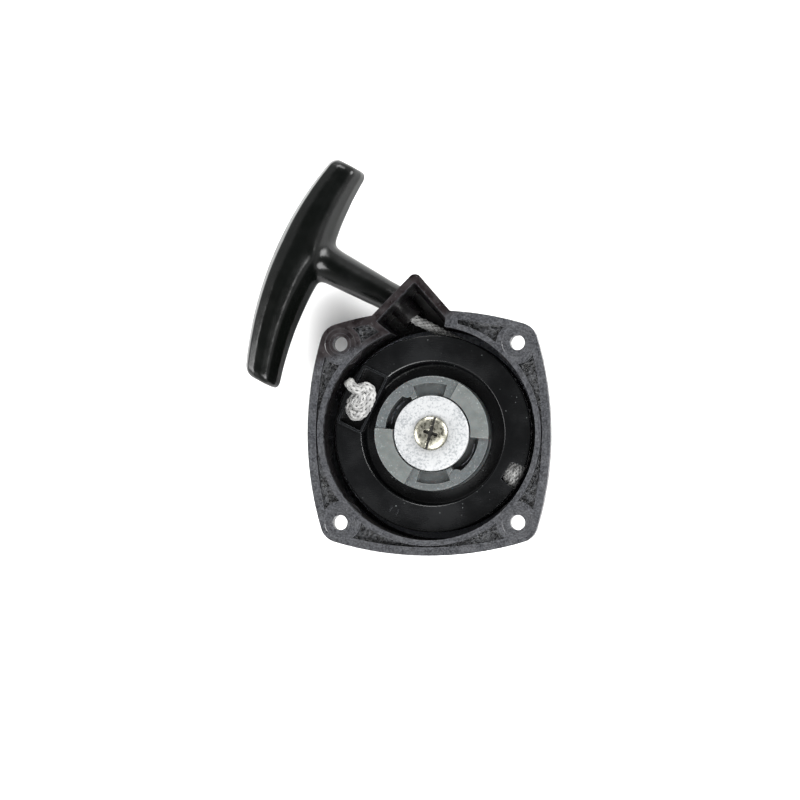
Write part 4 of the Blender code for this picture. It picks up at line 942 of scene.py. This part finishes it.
def braid(name, points, radius=ROPE_RADIUS, spacing=0.00045, sides=6, pitch=BRAID_PITCH):
    """Yarns that wind in both directions round a core coloured near black as painted shade, and pass over and
    under each other.
    """
    route = resample(points, spacing)
    frames = path_frames(route)
    scale = radius / ROPE_RADIUS
    middle = radius - (YARN_HALF_THICKNESS + YARN_WEAVE) * scale
    bm = bmesh.new()
    sweep(bm, route, round_sections(frames, radius * CORE_SHARE, 12), 2)
    for hand in (1, -1):
        for yarn in range(BRAID_YARNS):
            centres = []
            outs = []
            for index, point in enumerate(route):
                _, normal, binormal = frames[index]
                length = index * spacing
                angle = hand * 2 * pi * length / pitch + 2 * pi * yarn / BRAID_YARNS
                out = normal * cos(angle) + binormal * sin(angle)
                weave = cos(2 * pi * BRAID_YARNS * length / pitch)
                centres.append(point + out * (middle + hand * weave * YARN_WEAVE * scale))
                outs.append(out)
            sections = []
            for index, out in enumerate(outs):
                side = direction_at(centres, index).cross(out).normalized()
                ring = []
                for step in range(sides):
                    turn = 2 * pi * step / sides
                    across = side * cos(turn) * YARN_HALF_WIDTH * scale
                    ring.append(across + out * sin(turn) * YARN_HALF_THICKNESS * scale)
                sections.append(ring)
            sweep(bm, centres, sections, 1 if hand < 0 and yarn % 4 == 0 else 0)
    bmesh.ops.recalc_face_normals(bm, faces=bm.faces)
    mesh = bpy.data.meshes.new(name)
    bm.to_mesh(mesh)
    bm.free()
    return add_object(name, mesh, YARN_WHITE, YARN_GREY, ROPE_CORE_SHADE)


def outer_turn_radius():
    return WINDING_HIGH[0] - ROPE_RADIUS


def build_winding():
    """The wound rope: plain turns underneath, and the braided top turn that shows."""
    inner = DRUM_RADIUS + GAP + ROPE_RADIUS
    lower = ROPE_HEIGHT - 2 * ROPE_RADIUS
    turns = ((inner, lower), (inner, ROPE_HEIGHT), (outer_turn_radius(), lower))
    for index, (radius, height) in enumerate(turns):
        points = [polar(radius, radians(angle), height) for angle in range(0, 356, 10)]
        plain = braid(f"rope_turn_{index}", points, spacing=0.0016, sides=4)
        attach(plain, REEL)
        if index == 0:
            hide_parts("rope_winding")
    end = atan2(ACROSS.y, ACROSS.x)
    steps = 60
    angles = [TOP_TURN_START + (end - TOP_TURN_START) * step / steps for step in range(steps + 1)]
    points = [polar(outer_turn_radius(), angle, ROPE_HEIGHT) for angle in angles]
    top = braid("rope_top_turn", points, spacing=0.00055)
    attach(top, REEL)
    for radius, crest in PROUD_TURNS:
        proud = []
        for angle in PROUD_DEGREES:
            proud.append(polar(radius, radians(angle), crest - 0.00004 * (angle + 27) ** 2))
        strand = braid("rope_proud_turn", proud, 0.0016, spacing=0.00035, sides=8)
        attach(strand, REEL)


def build_rope_run():
    """From the tangent on the winding, through the bush, to the collar's face."""
    mouth = GUIDE_CENTRE + WALL_NORMAL * (COLLAR_HEIGHT - BUSH_LENGTH)
    foot = ACROSS * outer_turn_radius() + Vector((0.0, 0.0, ROPE_HEIGHT))
    points = [
        foot + PULL * 0.0004,
        foot + PULL * 0.006,
        foot + PULL * 0.014,
        foot + PULL * 0.021,
        mouth - WALL_NORMAL * 0.0004,
        GUIDE_CENTRE - WALL_NORMAL * 0.0045,
        GUIDE_CENTRE + WALL_NORMAL * (COLLAR_HEIGHT - GAP),
    ]
    run = braid("rope_run_braid", points, spacing=0.00035, sides=8)
    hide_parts("rope_run")
    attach(run, HOUSING)


def build_rope_lead():
    """The stretch inside the neck, which lengthens between collar and handle as it is pulled."""
    start = GUIDE_CENTRE + WALL_NORMAL * (COLLAR_HEIGHT - GAP)
    end = HANDLE_ORIGIN + PULL * KNOT_SEAT
    bend = start.lerp(HANDLE_ORIGIN + PULL * 0.004, 0.6)
    route = resample([start, bend, HANDLE_ORIGIN + PULL * 0.012, end], 0.0004)
    bm = bmesh.new()
    sweep(bm, route, round_sections(path_frames(route), ROPE_RADIUS, 24), 0)
    lead = finish_mesh("rope_lead_braid", bm, BRAID_LONG, angle=80.0)
    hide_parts("rope_lead")
    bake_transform(lead)


def knot_route(places):
    """Points from rows of outward, along and height, in millimetres from the knot's centre."""
    centre = polar(KNOT_RADIUS, KNOT_ANGLE)
    outward = polar(1.0, KNOT_ANGLE)
    along = polar(1.0, KNOT_ANGLE + pi / 2)
    route = []
    for out, side, height in places:
        flat = centre + outward * (0.001 * out) + along * (0.001 * side)
        route.append(flat + Vector((0, 0, 0.001 * height)))
    return route


KNOT_PLACES = (
    ((0.6, 0.6, 20.6), (0.5, 0.2, 22.6), (1.8, -1.6, 23.4), (2.8, 1.6, 23.8), (2.0, 5.0, 24.2))
    + ((-0.7, 6.2, 24.5), (-2.6, 3.8, 24.8), (-2.9, 0.0, 25.0), (-2.2, -3.2, 25.1), (-0.2, -4.6, 25.2))
    + ((1.7, -3.2, 25.6), (3.2, -2.2, 26.3), (4.9, -2.7, 26.8), (6.3, -3.5, 27.0))
)
BIGHT_PLACES = ((1.0, -1.6, 25.2), (1.3, 1.2, 25.7), (0.5, 3.1, 25.7), (-0.7, 1.2, 25.6), (-0.4, -2.0, 25.2))
TIP_PROFILE = [(0.0, -0.0009), (0.00172, -0.0009), (0.00186, 0.0003), (0.0012, 0.00095), (0.0, 0.00105)]


def build_reel_knot():
    """A rope that rises through the pocket's floor, winds round itself and ends in a fused tail."""
    points = knot_route(KNOT_PLACES)
    knot = braid("knot_braid", points, 0.00195, spacing=0.00032, sides=8, pitch=KNOT_PITCH)
    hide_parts("reel_knot")
    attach(knot, REEL)
    inner = braid("knot_bight", knot_route(BIGHT_PLACES), 0.0016, spacing=0.00032, pitch=KNOT_PITCH)
    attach(inner, REEL)
    tip = turned("knot_fused_tip", rounded(TIP_PROFILE, 0.0004, 6), 32, ROPE_FUSED)
    stand(tip, points[-1], (points[-1] - points[-2]).normalized())
    bake_place(tip)
    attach(tip, REEL)


# Carrier, pawls, washer and screw


WINDOW_OUTER = 0.0177
WINDOW_FLOOR = 0.0238
WINDOW_SPAN = (radians(72.0), radians(112.0))
POCKET_END = radians(-6.0)
FLAT_SPAN = (radians(-5.4), radians(61.0))
PAWL_END = radians(-6.4)
PAWL_HOLE_RADIUS = 0.0015


def build_carrier():
    bore = POST_RADIUS + GAP
    low = CARRIER_LOW[2] + 0.0020
    rows = [
        (bore, low, 0.0),
        (CARRIER_RADIUS, low, 0.0003),
        (CARRIER_RADIUS, CARRIER_TOP, 0.0005),
        (COUNTERBORE_RADIUS, CARRIER_TOP, 0.0004),
        (COUNTERBORE_RADIUS, CARRIER_FLOOR, 0.0004),
        (bore, CARRIER_FLOOR, 0.0),
    ]
    carrier = turned("carrier_ring", rounded_profile(rows), 160, RING_GREY)
    cuts = []
    flats = []
    inner = COUNTERBORE_RADIUS - CLEAR
    top = CARRIER_TOP + CLEAR
    for side in range(2):
        turn = side * pi
        start = PIVOT_ANGLE + turn
        window = sector(inner, WINDOW_OUTER, WINDOW_SPAN[0] + turn, WINDOW_SPAN[1] + turn)
        cuts.append(prism(f"window_{side}", window, WINDOW_FLOOR, top))
        pocket = sector(inner, CARRIER_RADIUS + CLEAR, start, POCKET_END + turn)
        cuts.append(prism(f"pocket_{side}", pocket, CARRIER_FLOOR, top))
        eye = polar(Vector(PAWL_PIVOT[:2]).length, start).xy
        cuts.append(disc(f"eye_{side}", PAWL_EYE_RADIUS + 0.00008, CARRIER_FLOOR, top, eye, 48))
        edges = (COUNTERBORE_RADIUS + GAP, CARRIER_RADIUS - 0.0001)
        flat = sector(*edges, FLAT_SPAN[0] + turn, FLAT_SPAN[1] + turn)
        flats.append(prism(f"flat_{side}", flat, CARRIER_TOP - CLEAR, FLAT_TOP))
    combine(carrier, cuts, "DIFFERENCE")
    combine(carrier, flats, "UNION")
    settle(carrier, *cuts, *flats)
    soften(carrier, 0.00022)
    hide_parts("ratchet_carrier")
    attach(carrier, REEL)


def build_pawls():
    for side, letter in enumerate("ab"):
        turn = side * pi
        low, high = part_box(f"pawl_{letter}")
        outline = sector(PAWL_ARM_INNER, CARRIER_RADIUS - 0.00015, PIVOT_ANGLE + turn, PAWL_END + turn)
        pawl = prism(f"pawl_{letter}_arm", outline, low[2], high[2], PAWL_GREY)
        centre = polar(Vector(PAWL_PIVOT[:2]).length, PIVOT_ANGLE + turn).xy
        eye = disc("eye", PAWL_EYE_RADIUS, low[2] + 0.00003, high[2] - 0.00003, centre, 48)
        hole = disc("hole", PAWL_HOLE_RADIUS, low[2] - CLEAR, high[2] - CLEAR, centre, 32)
        combine(pawl, [eye], "UNION")
        combine(pawl, [hole], "DIFFERENCE")
        settle(pawl, eye, hole)
        soften(pawl, 0.00030, 3)
        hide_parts(f"pawl_{letter}")
        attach(pawl, f"pawl_{letter}_body")


def build_washer():
    bottom = WASHER_LOW[2]
    top = WASHER_HIGH[2]
    radius = WASHER_HIGH[0]
    bore = SCREW_HOLE_RADIUS
    corners = [(bore, bottom), (radius, bottom), (radius, top), (bore, top)]
    washer = turned("washer_disc", rounded(corners, [0.0002, 0.0002, 0.0005, 0.0002]), 160, ZINC)
    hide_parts("retaining_washer")
    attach(washer, HOUSING)


SHANK_RADIUS = 0.0030
THREAD_TURNS = 14
THREAD_PITCH = 0.0010
THREAD_DEPTH = 0.0006
THREAD_CREST = (0.0004, 0.0006)
SLOT_ANGLE = radians(73.6)
SLOT = (0.0080, 0.0009, 0.0011)  # half length, width and depth
CROSS = (0.0026, 0.0012, 0.0017)
CROSS_CENTRE = (0.0011, 0.0019)  # radius and depth


def build_screw():
    head_bottom = WASHER_HIGH[2] + GAP
    low = SCREW_LOW[2]
    top = SCREW_HIGH[2]
    height = top - head_bottom
    radius = SCREW_HIGH[0]
    dome = []
    for step in range(12):
        angle = step / 11 * pi / 2
        across = radius * cos(angle) ** 0.55 if step < 11 else 0.0
        dome.append((across, head_bottom + height * (0.42 + 0.58 * sin(angle))))
    thread = []
    for turn in range(THREAD_TURNS):
        base = low + THREAD_PITCH + turn * THREAD_PITCH
        thread.append((SHANK_RADIUS - THREAD_DEPTH, base))
        thread += [(SHANK_RADIUS, base + crest) for crest in THREAD_CREST]
    tip = [(0.0, low), (SHANK_RADIUS - 0.0008, low)]
    head = [(SHANK_RADIUS - 0.0001, head_bottom), (radius, head_bottom), *dome]
    screw = turned("screw_head", [*tip, *thread, *head], 96, NICKEL)
    reach, width, depth = SLOT
    outline = turn_outline(box_outline(-reach, reach, width), SLOT_ANGLE)
    slot = prism("slot", outline, top - depth, top + CLEAR)
    reach, width, depth = CROSS
    outline = rounded(box_outline(-reach, reach, width), 0.00035, 4)
    cross = []
    for arm in range(2):
        turned_outline = turn_outline(outline, SLOT_ANGLE + arm * pi / 2)
        cross.append(prism(f"cross_{arm}", turned_outline, top - depth, top + CLEAR))
    radius, depth = CROSS_CENTRE
    centre = disc("cross_centre", radius, top - depth, top + CLEAR, points=24)
    # The slot and cross cutters give their cut faces the painted shade colour.
    for cutter in (slot, *cross, centre):
        cutter.data.materials.append(SLOT_SHADE)
    combine(screw, [slot, *cross, centre], "DIFFERENCE")
    for modifier in screw.modifiers:
        modifier.material_mode = "TRANSFER"
    settle(screw, slot, *cross, centre)
    soften(screw, 0.00012, 2, 45.0)
    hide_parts("centre_screw")
    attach(screw, HOUSING)


# Handle


def bar_section(across):
    """Inner and outer edge and half depth of the bar at a distance across the pull."""
    share = min(abs(across) / (BAR_UPPER_REACH if across > 0 else BAR_LOWER_REACH), 1.0)
    outer = BAR_FACE_DISTANCE - (across - BAR_CROWN_OFFSET) ** 2 / (2 * BAR_FACE_RADIUS)
    width = BAR_WIDTHS[0] + (BAR_WIDTHS[1] - BAR_WIDTHS[0]) * share**0.8
    depth = BAR_DEPTHS[0] + (BAR_DEPTHS[1] - BAR_DEPTHS[0]) * share**1.5
    return outer - width, outer, depth / 2


SECTION_SHARES = (
    ((0.03, 0.48), (0.13, 0.84), (0.32, 0.985), (0.52, 1.0))
    + ((0.68, 0.95), (0.74, 0.90), (0.80, 0.78), (0.92, 0.45))
)  # inwards from the outer edge, and height


def section_outline(inner, outer, half):
    """A flat-topped grip section: rounded outer side, soft crease, sloping inner side."""
    width = outer - inner
    side = [(outer - inwards * width, height * half) for inwards, height in SECTION_SHARES]
    below = [(distance, -height) for distance, height in reversed(side)]
    return [(outer, 0.0), *side, (inner, 0.0), *below]


NECK_RUN_BACK = 0.0120  # behind the handle's origin, cut off at the collar's face
NECK_TAPER = 0.0010
FLARE_START = 0.0042
FLARE = (0.0040, 0.0100)  # growth in radius, and length
GRIP_VOXEL = 0.00045
BLEND_REACH = 0.0180
BLEND_FADE = 0.0080
BORE_RADII = (0.0026, 0.0050)


def build_handle():
    ends = []
    for step in range(8):
        angle = pi / 2 * step / 7
        ends.append((BAR_END_ROUND * (1 - sin(angle)), BAR_END_ROUND * (1 - cos(angle))))
    middle = BAR_UPPER_REACH + BAR_LOWER_REACH - 2 * BAR_END_ROUND
    stations = [(inset - BAR_LOWER_REACH, shrink) for inset, shrink in reversed(ends)]
    stations += [(BAR_END_ROUND - BAR_LOWER_REACH + middle * step / 34, 0.0) for step in range(1, 34)]
    stations += [(BAR_UPPER_REACH - inset, shrink) for inset, shrink in ends]
    bm = bmesh.new()
    rings = []
    for across, shrink in stations:
        inner, outer, half = bar_section(across)
        inner += 0.8 * shrink
        outer -= 0.8 * shrink
        half -= 0.8 * shrink
        ring = []
        for distance, z in section_outline(inner, outer, half):
            ring.append(bm.verts.new(HANDLE_ORIGIN + PULL * distance + ACROSS * across + Vector((0, 0, z))))
        rings.append(ring)
    skin(bm, rings)
    bm.faces.new(rings[0])
    bm.faces.new(rings[-1][::-1])
    handle = finish_mesh("handle_grip", bm, GRIP, angle=60.0)
    root = BAR_FACE_DISTANCE - BAR_WIDTHS[0]
    profile = [(0.0, -NECK_RUN_BACK), (NECK_RADIUS, -NECK_RUN_BACK), (NECK_RADIUS, 0.0)]
    for step in range(1, 9):
        share = step / 8
        profile.append((NECK_RADIUS + NECK_TAPER * share, (root - FLARE_START) * share))
    for step in range(1, 9):
        angle = pi / 2 * step / 8
        flare = NECK_RADIUS + NECK_TAPER + FLARE[0] * (1 - cos(angle))
        profile.append((flare, root - FLARE_START + FLARE[1] * sin(angle)))
    profile.append((0.0, root + 0.0080))
    neck = turned("neck", profile, 64)
    stand(neck, HANDLE_ORIGIN, PULL)
    combine(handle, [neck], "UNION")
    settle(handle, neck)
    remesh = handle.modifiers.new("remesh", "REMESH")
    remesh.mode = "VOXEL"
    remesh.voxel_size = GRIP_VOXEL
    smooth = handle.modifiers.new("smooth", "SMOOTH")
    smooth.factor = 0.5
    smooth.iterations = 4
    settle(handle, angle=70.0)
    group = handle.vertex_groups.new(name="root")
    joint = HANDLE_ORIGIN + PULL * (root + 0.0010)
    for vertex in handle.data.vertices:
        share = (BLEND_REACH - (vertex.co - joint).length) / BLEND_FADE
        group.add([vertex.index], max(0.0, min(1.0, share)), "REPLACE")
    blend = handle.modifiers.new("blend", "SMOOTH")
    blend.vertex_group = "root"
    blend.factor = 0.5
    blend.iterations = 60
    settle(handle, angle=70.0)
    foot = disc("foot", 0.0300, -0.0300, COLLAR_HEIGHT + GAP, points=48)
    stand(foot, GUIDE_CENTRE, WALL_NORMAL)
    narrow, wide = BORE_RADII
    back = -0.0140
    face = BAR_FACE_DISTANCE + CLEAR
    steps = [(0.0, back), (narrow, back), (narrow, KNOT_SEAT), (wide, KNOT_SEAT), (wide, face), (0.0, face)]
    bore = turned("bore", steps, 48)
    stand(bore, HANDLE_ORIGIN, PULL)
    combine(handle, [foot, bore], "DIFFERENCE")
    settle(handle, foot, bore, angle=50.0)
    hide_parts("handle")
    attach(handle, HANDLE)


# Carried-over CAD nodes, floor and light


def finish_cad_nodes():
    steel = ("spring_cover", "rewind_spring", "friction_spring")
    steel += ("pawl_pin_a", "pawl_pin_b", "pawl_spring_a", "pawl_spring_b")
    looks = {**dict.fromkeys(steel, SPRING_STEEL), "handle_cap": GRIP, "handle_knot": YARN_WHITE}
    for name, material in looks.items():
        node = frame["nodes"][name]
        if not node.material_slots:
            node.data.materials.append(None)
        for slot in node.material_slots:
            slot.material = material


FLOOR_HALF = 3.0
LIGHT_SIZE = 0.60
LIGHTS = (
    ("key_right", (0.95, 0.35, 0.62), 22.0),
    ("key_back", (-0.15, 1.05, 0.68), 15.0),
    ("fill_front", (0.20, -0.62, 1.00), 19.0),
    ("fill_left", (-0.98, -0.20, 0.60), 15.0),
)


def build_stage():
    bm = bmesh.new()
    corners = box_outline(-FLOOR_HALF, FLOOR_HALF, 2 * FLOOR_HALF)
    bm.faces.new([bm.verts.new((x, y, -0.0001)) for x, y in corners])
    finish_mesh("studio_floor", bm, floor_material())


def add_light(name, place, power, aim=(0.0, 0.0, 0.02)):
    data = bpy.data.lights.new(name, "AREA")
    data.shape = "SQUARE"
    data.size = LIGHT_SIZE
    data.energy = power
    light = bpy.data.objects.new(name, data)
    bpy.context.scene.collection.objects.link(light)
    light.location = place
    light.rotation_euler = (Vector(aim) - Vector(place)).to_track_quat("-Z", "Y").to_euler()


def build_light():
    world = bpy.data.worlds.new("studio")
    bpy.context.scene.world = world
    world.use_nodes = True
    tree = world.node_tree
    background = tree.nodes["Background"]
    coords = tree.nodes.new("ShaderNodeTexCoord")
    split = tree.nodes.new("ShaderNodeSeparateXYZ")
    ramp = tree.nodes.new("ShaderNodeMapRange")
    tree.links.new(coords.outputs["Generated"], split.inputs[0])
    tree.links.new(split.outputs["Z"], ramp.inputs["Value"])
    for key, number in (("From Min", 0.35), ("From Max", 0.93), ("To Min", 1.3), ("To Max", 0.10)):
        ramp.inputs[key].default_value = number
    tree.links.new(ramp.outputs["Result"], background.inputs["Strength"])
    background.inputs["Color"].default_value = (1.0, 1.0, 1.0, 1.0)
    for name, place, power in LIGHTS:
        add_light(name, place, power)
    bpy.context.scene.view_settings.view_transform = "Standard"


build_housing()
build_bush()
build_reel()
build_winding()
build_rope_run()
build_rope_lead()
build_reel_knot()
build_carrier()
build_pawls()
build_washer()
build_screw()
build_handle()
finish_cad_nodes()
build_stage()
build_light()
